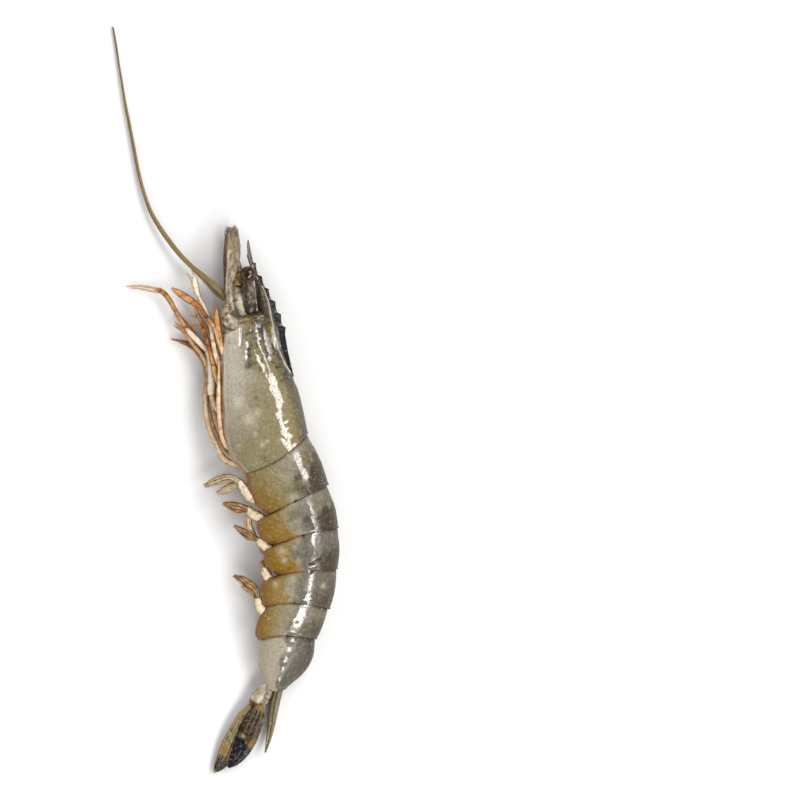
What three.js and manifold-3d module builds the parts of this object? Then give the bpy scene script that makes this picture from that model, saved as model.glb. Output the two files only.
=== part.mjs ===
// A raw tiger prawn, whole and in its shell, lying on its right flank.
//
// Lengths are millimetres. +Y runs towards the head, -X towards the belly, +X towards the back and +Z
// towards the left flank, which faces up. The animal rests on the plane z = 0, and the origin is the
// middle of its outline on that plane. Every part of the body is a closed skin, drawn ring by ring
// between two rails in the mid-plane: the line of the back and the line of the belly.

import * as THREE from 'three';
import { mergeVertices } from 'three/addons/utils/BufferGeometryUtils.js';
import Module from 'manifold-3d';

const wasm = await Module();
wasm.setup();

// ---------------------------------------------------------------- driving dimensions

const GAP = 0.3; // clear space where two pieces meet
const PRESSED = 0.4; // how much the flank is pressed flat where it lies
const MERGE = 1e-4; // vertices nearer than this are one

const AROUND = 26; // points in a ring of the body
const EDGE_AT = 10 / 13; // share of the half ring that the shell takes, down to its lower edge
const EDGE_TURN = THREE.MathUtils.degToRad(160); // how far round the ellipse that lower edge lies
const HOLLOW = 0.7; // depth of the belly between the lower edges, as a share of the half depth

// Half widths of the body at its seams: behind the carapace, then behind each of the six segments.
const SEAM_HALF_WIDTHS = [12.6, 12.6, 12.3, 11.6, 10.6, 9.2, 5.0];
// How far each of those seams bows towards the head, half way down the flank.
const SEAM_BOWS = [-2.6, 0, 1.3, 0.6, 2.1, 2.0, -1.6];

const CARAPACE = {
  back: [[19.6, 35.2], [21.9, 26.4], [24.4, 17.4], [27.5, 9.6], [30.6, 0.9], [33.8, -13.7]],
  belly: [[-1.3, 25.6], [-1.6, 16], [-1.5, 6], [-0.9, -5], [0.2, -16], [3.4, -25], [7.9, -30.0]],
  halfWidths: [8.2, 10.8, 12.4, 13.0, 13.0, 12.6],
  noseTilt: 0.8, // how much lower the mid-plane lies at the head than at the first seam
  dome: 4.5, // how far the closed front bulges forward
};

// Each segment's back line and the outline of its lower lobe, from its front seam to its rear seam.
const SEGMENTS = [
  {
    back: [[34.0, -14.1], [38.7, -24.5], [42.0, -34.7]],
    belly: [[7.9, -30.6], [9.4, -36.6], [12.6, -42.9], [17.6, -46.9]],
  },
  {
    back: [[42.1, -35.2], [45.0, -44.0], [46.5, -52.6]],
    belly: [[17.7, -47.3], [13.0, -50.2], [13.4, -54.3], [16.2, -57.8], [20.3, -59.5]],
  },
  {
    back: [[46.6, -53.1], [46.9, -61.5], [46.1, -69.4]],
    belly: [[20.3, -59.9], [15.8, -62.4], [16.0, -66.3], [18.3, -70.0], [21.6, -71.7]],
  },
  {
    back: [[46.0, -69.9], [45.1, -78.0], [42.7, -86.0]],
    belly: [[21.4, -72.1], [15.8, -74.6], [14.7, -78.4], [15.1, -82.0], [16.9, -84.6]],
  },
  {
    back: [[42.5, -86.5], [40.1, -92.5], [37.3, -98.4]],
    belly: [[16.3, -85.1], [13.9, -89.0], [12.8, -93.2], [12.4, -96.6], [13.5, -98.5]],
  },
  {
    back: [[37.2, -98.9], [35.9, -106.4], [32.0, -112.4], [24.6, -118.9]],
    belly: [[14.2, -99.1], [13.6, -106.0], [14.2, -112.0], [15.6, -117.4]],
  },
];
const TUCK = 0.045; // how much smaller a segment's front is than the edge that covers it

const ROSTRUM = {
  top: [[28.2, 8.8], [25.7, 19.4], [24.0, 28.4], [20.4, 38.0], [16.6, 45.4], [12.0, 54.6], [9.3, 66.4]],
  keel: [[22.0, 10.0], [17.5, 22.0], [13.4, 36.0], [12.3, 44.7], [11.5, 51.0], [9.3, 57.0], [8.7, 64.4]],
  halfThickness: [3.0, 2.9, 2.4, 1.8, 1.3, 0.8, 0.3],
  ridge: 0.42, // where the side ridge runs, as a share of the way up from the keel
  rows: 32,
  teeth: [11, 14, 17, 20, 23, 26], // the rows that carry a tooth of the top edge
  keelTeeth: [26, 29],
  toothHeight: 1.0,
  keelToothHeight: 0.4,
  toothLean: 1.1, // how far a tooth's point leans forward, as a share of its height
};

// The brow from inside the carapace to the blade: [x, y, half width, half height].
const BROW = [
  [19.5, 24.0, 3.4, 9.0], [17.8, 31.0, 3.3, 7.4], [16.2, 37.5, 2.7, 4.8], [14.6, 43.5, 1.8, 2.6],
  [13.2, 49.0, 0.9, 1.3],
];

// ---------------------------------------------------------------- geometry helpers

const lerp = THREE.MathUtils.lerp;
const UP = new THREE.Vector3(0, 0, 1);

function rail(points) {
  const stops = points.map(([x, y]) => new THREE.Vector3(x, y, 0));
  return new THREE.CatmullRomCurve3(stops, false, 'centripetal');
}

function profile(values) {
  const line = new THREE.SplineCurve(values.map((value, i) => new THREE.Vector2(i, value)));
  return (t) => line.getPoint(t).y;
}

function signedVolume(position, index) {
  const [a, b, c] = [new THREE.Vector3(), new THREE.Vector3(), new THREE.Vector3()];
  let total = 0;
  for (let i = 0; i < index.count; i += 3) {
    a.fromBufferAttribute(position, index.getX(i));
    b.fromBufferAttribute(position, index.getX(i + 1));
    c.fromBufferAttribute(position, index.getX(i + 2));
    total += a.dot(b.cross(c)) / 6;
  }
  return total;
}

// One closed body whose faces point out.
function sealed(geometry) {
  geometry.deleteAttribute('normal');
  geometry.deleteAttribute('uv');
  const merged = mergeVertices(geometry, MERGE);
  if (signedVolume(merged.attributes.position, merged.index) < 0) {
    const indices = merged.index.array;
    for (let i = 0; i < indices.length; i += 3) {
      [indices[i], indices[i + 1]] = [indices[i + 1], indices[i]];
    }
  }
  return merged;
}

function solidOf(geometry) {
  const vertProperties = Float32Array.from(geometry.attributes.position.array);
  const triVerts = Uint32Array.from(geometry.index.array);
  return new wasm.Manifold(new wasm.Mesh({ numProp: 3, vertProperties, triVerts }));
}

function geometryOf(solid) {
  const { vertProperties, triVerts, numProp } = solid.getMesh();
  const geometry = new THREE.BufferGeometry();
  const points = new Float32Array((vertProperties.length / numProp) * 3);
  for (let i = 0; i < points.length; i += 1) {
    points[i] = vertProperties[Math.floor(i / 3) * numProp + (i % 3)];
  }
  geometry.setAttribute('position', new THREE.BufferAttribute(points, 3));
  geometry.setIndex(Array.from(triVerts));
  geometry.computeVertexNormals();
  return geometry;
}

// A closed skin: a sphere's grid whose rows are laid on the given rows, its poles on the first and last.
function skin(rows, around, pointAt) {
  const geometry = new THREE.SphereGeometry(1, around, rows.length - 1);
  const { position } = geometry.attributes;
  for (let i = 0; i < position.count; i += 1) {
    const row = rows[Math.floor(i / (around + 1))];
    const turn = ((i % (around + 1)) / around) % 1;
    const { x, y, z } = pointAt(row, turn);
    position.setXYZ(i, x, y, z);
  }
  return solidOf(sealed(geometry));
}

// A limb, or a blade where its thickness is the smaller: rings round the joints
// [x, y, z, half width, half thickness], closed by a short dome at each end.
function limb(joints, grow = 0, around = 6) {
  const centres = joints.map(([x, y, z]) => new THREE.Vector3(x, y, z));
  const rings = joints.map(([, , , width, thickness = width], i) => {
    const before = centres[Math.max(i - 1, 0)];
    const after = centres[Math.min(i + 1, joints.length - 1)];
    const along = after.clone().sub(before).normalize();
    const side = along.clone().cross(UP).normalize();
    const above = side.clone().cross(along);
    return { centre: centres[i], along, side, above, width: width + grow, thickness: thickness + grow };
  });
  const dome = (ring, sense) => {
    const reach = sense * Math.min(ring.width, 1.5 * ring.thickness);
    const centre = ring.centre.clone().addScaledVector(ring.along, 0.6 * reach);
    return { ...ring, centre, width: 0, thickness: 0 };
  };
  const rows = [dome(rings[0], -1), ...rings, dome(rings.at(-1), 1)];
  return skin(rows, around, (ring, turn) => ring.centre.clone()
    .addScaledVector(ring.side, ring.width * Math.cos(2 * Math.PI * turn))
    .addScaledVector(ring.above, ring.thickness * Math.sin(2 * Math.PI * turn)));
}

const joined = (solids) => solids.reduce((whole, next) => whole.add(next));

// ---------------------------------------------------------------- the body's rings

// The place of a ring's point in its own half: depth runs from 1 on the back to -1 on the lower edge,
// and width from 0 in the mid-plane to 1 on the flank.
function halfRing(share) {
  if (share <= EDGE_AT) {
    const turn = (share / EDGE_AT) * EDGE_TURN;
    const depth = 1 - (2 * (1 - Math.cos(turn))) / (1 - Math.cos(EDGE_TURN));
    const fullness = turn < Math.PI / 2 ? 0.92 : 0.7;
    return { depth, width: Math.sin(turn) ** fullness };
  }
  const inward = (share - EDGE_AT) / (1 - EDGE_AT);
  const edge = halfRing(EDGE_AT);
  return { depth: lerp(-1, -HOLLOW, Math.sin((inward * Math.PI) / 2)), width: edge.width * (1 - inward) };
}

// A ring states its back and belly points, half width, mid-plane height, bow and scale.
function ringPoint(ring, turn, grow) {
  const left = turn <= 0.5;
  const { depth, width } = halfRing(left ? 2 * turn : 2 * (1 - turn));
  const middle = ring.back.clone().add(ring.belly).multiplyScalar(0.5);
  const across = ring.back.clone().sub(ring.belly);
  const reach = (across.length() / 2) * ring.scale + (ring.scale > 0 ? grow : 0);
  across.normalize();
  const ahead = new THREE.Vector3(-across.y, across.x, 0);
  const point = middle.addScaledVector(across, depth * reach);
  point.addScaledVector(ahead, ring.bow * (1 - depth * depth * ring.scale ** 2) + (ring.ahead ?? 0));
  const breadth = ring.halfWidth * ring.scale + (ring.scale > 0 ? grow : 0);
  point.z = ring.height + (left ? 1 : -1) * width * breadth;
  point.z = grow > 0 ? point.z : Math.max(point.z, 0);
  return point;
}

const seamHeight = (seam) => SEAM_HALF_WIDTHS[seam] - PRESSED;
const HEAD_HEIGHT = seamHeight(0) - CARAPACE.noseTilt; // where the mid-plane lies at the head

// ---------------------------------------------------------------- carapace and rostrum

function carapaceRing(t, scale, ahead = 0) {
  return {
    back: rail(CARAPACE.back).getPointAt(t),
    belly: rail(CARAPACE.belly).getPointAt(t),
    halfWidth: profile(CARAPACE.halfWidths)(t),
    height: lerp(HEAD_HEIGHT, seamHeight(0), t),
    bow: lerp(0, SEAM_BOWS[0], t),
    scale,
    ahead,
  };
}

function carapaceSkin(grow) {
  const rows = [];
  const domeRows = 4;
  for (let i = 0; i < domeRows; i += 1) {
    const turn = (i / domeRows) * (Math.PI / 2);
    rows.push(carapaceRing(0, Math.sin(turn), (CARAPACE.dome + grow) * Math.cos(turn)));
  }
  const flankRows = 15;
  for (let i = 0; i <= flankRows; i += 1) {
    rows.push(carapaceRing(i / flankRows, 1, i === flankRows ? -grow : 0));
  }
  rows.push(carapaceRing(1, 0, -grow));
  return skin(rows, AROUND, (ring, turn) => ringPoint(ring, turn, grow));
}

// The toothed blade over the head: thin on top, thickest at its side ridge, with a sharp keel.
function rostrumBlade(grow) {
  const top = rail(ROSTRUM.top);
  const keel = rail(ROSTRUM.keel);
  const thickness = profile(ROSTRUM.halfThickness);
  const rows = [];
  for (let i = 0; i <= ROSTRUM.rows; i += 1) {
    const t = i / ROSTRUM.rows;
    const tooth = ROSTRUM.teeth.includes(i) ? ROSTRUM.toothHeight : 0;
    const keelTooth = ROSTRUM.keelTeeth.includes(i) ? ROSTRUM.keelToothHeight : 0;
    rows.push({ t, tooth, keelTooth, scale: i === 0 || i === ROSTRUM.rows ? 0 : 1 });
  }
  return skin(rows, 8, (row, turn) => {
    const high = top.getPointAt(row.t);
    const low = keel.getPointAt(row.t);
    const across = high.clone().sub(low).normalize();
    high.addScaledVector(across, row.tooth + grow);
    high.addScaledVector(top.getTangentAt(row.t), row.tooth * ROSTRUM.toothLean);
    low.addScaledVector(across, -row.keelTooth - grow);
    const ridge = low.clone().lerp(high, ROSTRUM.ridge);
    const level = Math.cos(2 * Math.PI * turn);
    const rise = level > 0 ? high.clone().sub(ridge) : ridge.clone().sub(low);
    const side = Math.sin(2 * Math.PI * turn);
    const taper = level > 0 ? 1 - 0.72 * level : 1 - 0.9 * level * level;
    const point = ridge.addScaledVector(rise, level * row.scale);
    point.z = HEAD_HEIGHT + side * Math.max(taper, 0.1) * (thickness(row.t) + grow) * row.scale;
    return point;
  });
}

// The brow, where the carapace narrows and rises into the blade between the eyes.
const brow = (grow) => limb(BROW.map(([x, y, ...size]) => [x, y, HEAD_HEIGHT, ...size]), grow, 10);

// ---------------------------------------------------------------- abdomen

function segmentSkin(number, grow) {
  const { back, belly } = SEGMENTS[number - 1];
  const lines = { back: rail(back), belly: rail(belly) };
  const ring = (t, scale, ahead = 0) => ({
    back: lines.back.getPointAt(t),
    belly: lines.belly.getPointAt(t),
    halfWidth: lerp(SEAM_HALF_WIDTHS[number - 1], SEAM_HALF_WIDTHS[number], t),
    height: lerp(seamHeight(number - 1), seamHeight(number), t),
    bow: lerp(SEAM_BOWS[number - 1], SEAM_BOWS[number], t),
    scale,
    ahead,
  });
  const rows = [ring(0, 0, grow)];
  const steps = 7;
  for (let i = 0; i <= steps; i += 1) {
    const t = i / steps;
    rows.push(ring(t, 1 - TUCK * (1 - t) ** 2.5, i === 0 ? grow : i === steps ? -grow : 0));
  }
  rows.push(ring(1, 0, -grow));
  return skin(rows, AROUND, (row, turn) => ringPoint(row, turn, grow));
}

// ---------------------------------------------------------------- head

const EYE = { radius: 3.3, place: [9.5, 51.2], out: 7.4, stalk: [10.2, 36.2], stalkOut: 3.4 };

// side is 1 for the left of the animal, which faces up, and -1 for the right.
function eye(side, grow) {
  const ball = new THREE.SphereGeometry(EYE.radius + grow, 16, 11);
  ball.translate(EYE.place[0], EYE.place[1], HEAD_HEIGHT + side * EYE.out);
  const [x, y] = EYE.stalk;
  const [ballX, ballY] = EYE.place;
  const level = (share) => HEAD_HEIGHT + side * lerp(EYE.stalkOut, EYE.out, share);
  const stalk = limb([
    [x, y, level(0), 2.4, 1.5],
    [x - 0.2, lerp(y, ballY, 0.35), level(0.35), 2.7, 1.9],
    [x - 0.6, lerp(y, ballY, 0.65), level(0.75), 2.5, 2.0],
    [ballX, ballY - 2.6, level(0.95), 2.2, 1.9],
  ], grow, 8);
  return joined([solidOf(sealed(ball)), stalk]);
}

const SCALE_OUT = 6.2;
function antennalScale(side, grow) {
  const level = (out) => HEAD_HEIGHT + side * out;
  return limb([
    [2.6, 36.6, level(SCALE_OUT - 0.4), 1.5, 0.7],
    [1.5, 41.5, level(SCALE_OUT), 1.8, 0.7],
    [1.3, 48.0, level(SCALE_OUT + 0.2), 1.9, 0.55],
    [2.2, 54.0, level(SCALE_OUT + 0.1), 2.9, 0.45],
    [2.7, 60.0, level(SCALE_OUT), 3.3, 0.4],
    [2.8, 65.0, level(SCALE_OUT - 0.2), 3.0, 0.35],
    [2.5, 68.6, level(SCALE_OUT - 0.4), 2.2, 0.3],
    [2.3, 70.2, level(SCALE_OUT - 0.5), 1.2, 0.25],
  ], grow, 8);
}

function antennule(side, grow) {
  const level = (out) => HEAD_HEIGHT + side * out;
  const stem = limb([
    [7.6, 35.0, level(2.4), 1.9, 1.5],
    [5.6, 41.0, level(2.6), 2.2, 1.6],
    [5.2, 46.5, level(2.8), 2.3, 1.6],
    [5.2, 52.0, level(2.8), 2.1, 1.4],
    [4.6, 57.0, level(2.7), 1.3, 1.0],
  ], grow, 7);
  const whip = (lean) => limb([
    [4.4 + 0.4 * lean, 56.5, level(2.7 - 0.3 * lean), 0.55],
    [3.9 + 0.9 * lean, 63.0, level(2.6 - 0.5 * lean), 0.42],
    [2.9 + 1.4 * lean, 69.0, level(2.5 - 0.7 * lean), 0.26],
  ], grow, 5);
  return joined([stem, whip(-1), whip(1)]);
}

const ANTENNA_BASE_OUT = 6.4;
function antennaBase(side, grow) {
  const level = (out) => HEAD_HEIGHT + side * out;
  return limb([
    [6.0, 30.0, level(ANTENNA_BASE_OUT - 2.2), 2.0, 1.8],
    [3.6, 30.4, level(ANTENNA_BASE_OUT - 0.4), 2.9, 2.4],
    [1.5, 32.2, level(ANTENNA_BASE_OUT), 2.9, 2.5],
    [0.5, 35.0, level(ANTENNA_BASE_OUT - 0.2), 2.2, 2.0],
    [0.4, 37.8, level(ANTENNA_BASE_OUT - 0.6), 1.7, 1.6],
    [0.5, 40.4, level(ANTENNA_BASE_OUT - 1.0), 1.2, 1.1],
  ], grow, 9);
}

// The long feelers run forward side by side, sink to the table and thin out to a hair.
const FEELERS = {
  left: [
    [0.4, 41.4, 16.6], [-1.8, 44.9, 15.4], [-9.0, 51.0, 12.0], [-13.5, 54.6, 9.9], [-18.5, 59.7, 8.0],
    [-23.3, 65.8, 6.2], [-27.4, 71.7, 5.0], [-30.9, 77.9, 4.0], [-33.6, 85.2, 3.3], [-35.7, 93.4, 2.9],
    [-37.6, 103.3, 2.6], [-39.5, 113.1, 2.4], [-41.2, 121.5, 2.2], [-42.6, 129.8, 2.0],
    [-43.9, 137.6, 1.8], [-45.0, 145.3, 1.6], [-46.4, 153.1, 1.4],
  ],
  right: [
    [0.4, 40.4, 6.0], [-3.8, 43.6, 6.3], [-8.6, 48.8, 6.0], [-13.4, 53.6, 5.2], [-18.9, 59.0, 4.2],
    [-23.8, 65.0, 3.2], [-27.9, 71.0, 2.4], [-31.4, 77.3, 1.8], [-34.0, 84.9, 1.3], [-36.2, 93.2, 1.0],
    [-38.1, 103.1, 0.9], [-40.0, 112.9, 0.9], [-41.6, 121.3, 0.8], [-42.9, 129.6, 0.7],
    [-44.2, 137.4, 0.7], [-45.4, 145.3, 0.6], [-46.7, 153.3, 0.5],
  ],
};
const FEELER_RADII = { root: 0.85, middle: 0.55, tip: 0.22 };

function feeler(route, grow) {
  const line = new THREE.CatmullRomCurve3(route.map(([x, y, z]) => new THREE.Vector3(x, y, z)));
  const steps = 44;
  const joints = [];
  for (let i = 0; i <= steps; i += 1) {
    const t = i / steps;
    const { x, y, z } = line.getPointAt(t);
    const radius = t < 0.4
      ? lerp(FEELER_RADII.root, FEELER_RADII.middle, t / 0.4)
      : lerp(FEELER_RADII.middle, FEELER_RADII.tip, (t - 0.4) / 0.6);
    joints.push([x, y, z, radius]);
  }
  return limb(joints, grow, 5);
}

// ---------------------------------------------------------------- jaw feet and walking legs

// A limb with branches: each is a list of joints, and the branches start inside the stem.
const branched = (stem, ...branches) => (grow) => joined([stem, ...branches].map((b) => limb(b, grow)));

const JAW_FEET = {
  left: branched(
    [
      [4.0, 14.0, 14.6, 1.3], [0.4, 17.0, 15.6, 1.3], [-1.9, 22.0, 16.2, 1.1], [-4.4, 29.5, 16.6, 1.0],
      [-7.4, 33.4, 15.6, 0.95], [-10.6, 37.6, 14.0, 1.0], [-13.2, 39.9, 13.2, 1.3, 0.9],
      [-16.0, 41.7, 11.8, 1.5, 0.7], [-19.2, 43.8, 10.3, 1.2, 0.5], [-21.9, 45.5, 9.2, 0.5, 0.35],
    ],
    [[-1.4, 21.0, 16.0, 1.0], [-2.6, 27.0, 17.2, 1.2, 0.6], [-3.4, 33.0, 17.4, 1.1, 0.5], [-3.6, 38.0, 17.0, 0.3]],
  ),
  right: branched(
    [
      [4.0, 14.0, 6.6, 1.3], [0.0, 18.0, 6.4, 1.3], [-2.2, 24.0, 6.2, 1.1], [-5.6, 31.0, 5.8, 1.0],
      [-9.4, 36.6, 5.0, 0.9], [-13.0, 39.4, 4.2, 1.0, 0.6], [-16.8, 41.8, 3.4, 0.6, 0.4],
    ],
    [[-2.0, 22.0, 6.2, 1.0], [-2.9, 28.0, 6.4, 1.2, 0.6], [-3.4, 34.0, 6.8, 0.9, 0.5], [-3.4, 37.4, 7.0, 0.3]],
  ),
};

const LEGS = {
  1: {
    left: branched(
      [
        [4.0, 6.5, 15.0, 1.5], [-0.6, 11.0, 15.2, 1.2], [-3.6, 17.0, 15.5, 1.1], [-5.0, 24.0, 15.0, 1.0],
        [-6.2, 32.0, 13.6, 1.0], [-8.9, 38.0, 11.8, 1.0], [-10.9, 42.0, 10.8, 0.85],
        [-12.1, 45.7, 10.2, 1.3], [-12.7, 48.9, 9.7, 1.2], [-12.8, 50.8, 9.3, 0.55], [-13.9, 52.8, 8.8, 0.25],
      ],
      [[-12.6, 47.4, 9.7, 0.8], [-14.3, 49.8, 9.2, 0.45], [-15.9, 51.8, 8.5, 0.22]],
    ),
    right: branched(
      [
        [4.0, 5.0, 9.6, 1.5], [-1.4, 9.0, 9.4, 1.2], [-4.2, 17.0, 9.2, 1.1], [-6.2, 24.0, 8.8, 1.25],
        [-8.8, 30.2, 8.2, 1.1], [-11.2, 34.4, 7.6, 0.9], [-12.4, 37.2, 7.2, 0.5], [-13.3, 39.4, 6.9, 0.25],
      ],
      [[-11.0, 34.0, 7.6, 0.6], [-12.8, 34.0, 7.4, 0.45], [-14.4, 34.7, 7.1, 0.2]],
    ),
  },
  2: {
    left: branched(
      [
        [4.0, 1.0, 14.6, 1.5], [-0.8, 4.4, 14.9, 1.3], [-3.4, 8.4, 15.0, 1.2], [-4.8, 14.0, 14.4, 1.2],
        [-6.3, 20.5, 13.6, 0.95], [-8.0, 25.4, 12.8, 0.9], [-9.6, 29.2, 12.0, 0.8],
        [-12.4, 30.6, 11.4, 0.45], [-15.9, 30.9, 10.8, 0.2],
      ],
      [[-9.0, 28.0, 12.2, 0.5], [-9.6, 31.4, 12.0, 0.4], [-9.0, 33.6, 11.8, 0.2]],
    ),
    right: branched(
      [
        [4.0, -1.0, 9.0, 1.5], [-2.0, 2.0, 8.8, 1.3], [-5.4, 7.0, 8.4, 1.2], [-7.4, 13.6, 8.0, 1.2],
        [-9.6, 18.0, 7.4, 0.95], [-12.9, 22.2, 6.4, 0.9], [-16.2, 27.0, 5.2, 1.0], [-17.6, 28.6, 4.8, 0.75],
        [-19.4, 30.4, 4.4, 0.45], [-20.9, 31.6, 4.2, 0.2],
      ],
      [[-16.8, 27.6, 5.0, 0.6], [-19.6, 29.3, 4.3, 0.4], [-21.4, 30.6, 4.0, 0.2]],
    ),
  },
  3: {
    left: branched(
      [
        [4.0, -9.0, 12.9, 1.5], [-0.6, -7.0, 12.8, 1.3], [-3.8, -3.4, 12.6, 1.15], [-5.6, 1.6, 12.4, 1.2],
        [-5.8, 3.2, 12.3, 1.7], [-5.5, 10.0, 12.0, 1.8], [-6.4, 18.0, 11.2, 1.5], [-7.6, 20.0, 10.8, 1.1],
        [-11.4, 24.2, 9.6, 1.35], [-15.0, 27.8, 8.4, 1.15], [-16.4, 29.6, 7.9, 0.85],
        [-20.4, 36.0, 6.6, 0.9], [-24.0, 42.0, 5.5, 1.0], [-26.6, 44.6, 4.7, 0.95],
        [-29.4, 45.7, 4.0, 0.45], [-33.8, 46.5, 3.2, 0.35], [-37.4, 46.7, 2.6, 0.3], [-40.8, 46.5, 2.2, 0.18],
      ],
      [
        [-26.2, 44.0, 4.7, 0.6], [-29.2, 44.3, 3.9, 0.4], [-33.0, 45.1, 3.1, 0.35],
        [-36.4, 45.7, 2.4, 0.28], [-39.6, 45.9, 1.9, 0.18],
      ],
    ),
    right: branched(
      [
        [4.0, -10.5, 6.0, 1.5], [-1.0, -8.6, 5.4, 1.3], [-4.4, -4.0, 4.6, 1.2], [-5.2, 3.0, 3.6, 1.3],
        [-5.0, 10.0, 3.0, 1.4], [-6.0, 17.0, 2.5, 1.2], [-9.2, 21.8, 2.1, 1.0], [-12.8, 26.2, 2.0, 0.95],
        [-16.0, 30.4, 1.8, 0.8], [-18.4, 33.6, 1.6, 0.45], [-20.2, 36.2, 1.4, 0.2],
      ],
      [[-15.8, 29.8, 1.8, 0.5], [-18.8, 32.8, 1.5, 0.4], [-21.0, 35.2, 1.2, 0.2]],
    ),
  },
  4: {
    left: branched([
      [5.5, -20.5, 14.8, 1.6], [1.0, -19.4, 16.2, 1.3], [-1.1, -16.0, 17.0, 1.1], [-1.9, -12.0, 17.2, 1.0],
      [-2.3, -8.4, 17.2, 1.05], [-2.7, -2.0, 17.4, 1.0], [-2.6, 4.0, 17.5, 0.9], [-2.6, 8.0, 17.5, 0.7],
      [-2.6, 13.0, 17.4, 0.5], [-2.8, 17.6, 17.3, 0.25],
    ]),
    right: branched([
      [6.0, -19.0, 9.4, 1.6], [0.4, -17.4, 9.6, 1.3], [-2.8, -12.0, 9.4, 1.1], [-5.0, -5.0, 8.6, 1.0],
      [-5.8, 1.0, 7.2, 0.95], [-5.4, 7.0, 5.9, 0.8], [-6.0, 11.0, 5.4, 0.7], [-6.6, 15.0, 5.2, 0.45],
      [-7.2, 18.4, 5.0, 0.25],
    ]),
  },
  5: {
    left: branched([
      [11.0, -27.8, 14.0, 1.8], [6.4, -26.9, 14.4, 1.5], [2.2, -25.9, 14.0, 1.2], [-0.9, -23.9, 13.0, 1.2],
      [-3.7, -18.4, 12.0, 1.05], [-5.0, -15.6, 11.6, 1.15], [-6.8, -11.2, 10.8, 1.1],
      [-8.0, -4.6, 9.7, 1.0], [-8.3, 2.6, 8.4, 1.0], [-7.6, 6.2, 7.5, 0.6], [-8.0, 12.0, 6.2, 0.6],
      [-9.0, 15.9, 5.2, 0.7], [-10.6, 20.6, 4.4, 1.0, 0.8], [-14.0, 22.8, 3.5, 0.9, 0.7],
      [-18.4, 23.9, 2.7, 0.6, 0.5], [-22.5, 24.9, 2.0, 0.22],
    ]),
    right: branched([
      [11.0, -25.6, 8.0, 1.8], [5.0, -24.6, 7.8, 1.4], [-1.4, -20.2, 6.8, 1.2], [-5.0, -12.0, 5.8, 1.1],
      [-7.4, -4.0, 5.0, 1.0], [-8.1, 2.4, 4.4, 0.95], [-8.1, 8.0, 4.0, 0.6], [-9.0, 14.0, 3.0, 0.6],
      [-11.6, 19.2, 1.9, 0.85, 0.7], [-15.2, 22.2, 1.4, 0.7, 0.6], [-18.8, 23.5, 1.0, 0.3],
    ]),
  },
};

// ---------------------------------------------------------------- swimming legs

// Each has a stout stem under its segment and two leaf-like blades, [x, y] from the stem to the tip.
const SWIMMERETS = [
  {
    stem: [[17.0, -41.5], [11.2, -40.6], [8.0, -37.2], [6.0, -33.8]],
    blades: [
      [[6.0, -33.8, 1.1], [1.6, -32.2, 1.5], [-3.2, -33.2, 1.5], [-8.4, -35.4, 0.7]],
      [[6.4, -34.6, 0.9], [2.4, -35.6, 1.4], [-0.6, -37.4, 1.4], [-3.4, -38.3, 0.4]],
    ],
  },
  {
    stem: [[18.4, -50.4], [13.4, -48.0], [10.8, -46.6], [9.4, -44.8]],
    blades: [
      [[9.4, -45.0, 1.1], [5.6, -44.4, 2.0], [2.2, -43.4, 1.6], [-0.9, -42.6, 0.4]],
      [[10.4, -46.6, 0.9], [9.2, -50.6, 1.4], [10.4, -53.8, 1.2], [12.4, -56.4, 0.4]],
    ],
  },
  {
    stem: [[20.4, -62.0], [16.8, -60.4], [14.6, -58.8], [13.2, -57.4]],
    blades: [
      [[13.2, -57.4, 0.9], [9.6, -55.8, 1.6], [6.6, -53.8, 1.2], [3.8, -51.8, 0.4]],
      [[15.0, -59.0, 0.8], [14.9, -60.6, 1.0], [15.5, -62.2, 0.8], [16.6, -63.6, 0.3]],
    ],
  },
  {
    stem: [[20.6, -75.0], [17.9, -73.4], [16.5, -71.4], [15.8, -69.4]],
    blades: [
      [[15.7, -69.8, 0.9], [15.1, -68.0, 0.9], [15.2, -66.8, 0.7], [15.8, -66.0, 0.3]],
      [[16.6, -71.8, 0.8], [16.8, -73.8, 0.9], [17.6, -75.6, 0.7], [18.8, -77.0, 0.3]],
    ],
  },
  {
    stem: [[18.6, -88.4], [15.6, -86.8], [13.8, -84.4], [13.4, -81.8]],
    blades: [
      [[13.4, -81.6, 0.9], [11.6, -77.6, 1.5], [7.6, -74.4, 1.5], [3.5, -72.3, 0.4]],
      [[13.2, -82.4, 0.8], [11.4, -79.6, 1.1], [9.0, -77.8, 1.0], [6.6, -76.8, 0.4]],
    ],
  },
];
const SWIMMERET_STEM = { radii: [1.4, 2.0, 1.9, 1.3], out: 4.2 };
const BLADE_HALF_THICKNESS = 0.34;
const BLADE_LIFTS = [1.0, -1.2]; // the outer blade lies over the inner one

function swimmeret(number, side, grow) {
  const { stem, blades } = SWIMMERETS[number - 1];
  const middle = lerp(seamHeight(number - 1), seamHeight(number), 0.5);
  const height = middle + side * SWIMMERET_STEM.out;
  const stalk = limb(stem.map(([x, y], i) => [x, y, height, SWIMMERET_STEM.radii[i]]), grow, 8);
  const leaves = blades.map((blade, b) => limb(blade.map(([x, y, width], i) => {
    const droop = side > 0 ? 0.5 * i : 0.2 * i;
    return [x, y, height + BLADE_LIFTS[b] - droop, width, BLADE_HALF_THICKNESS];
  }), grow));
  return joined([stalk, ...leaves]);
}

// ---------------------------------------------------------------- tail fan

const TAIL_HEIGHT = seamHeight(6);

const telson = (grow) => limb([
  [22.4, -116.0, TAIL_HEIGHT, 2.0, 2.8],
  [20.9, -121.0, TAIL_HEIGHT, 2.2, 3.0],
  [19.7, -127.0, TAIL_HEIGHT, 2.0, 2.7],
  [18.6, -134.0, TAIL_HEIGHT, 1.6, 1.9],
  [17.3, -140.5, TAIL_HEIGHT, 1.0, 1.1],
  [16.2, -145.0, TAIL_HEIGHT, 0.3],
], grow, 8);

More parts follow.
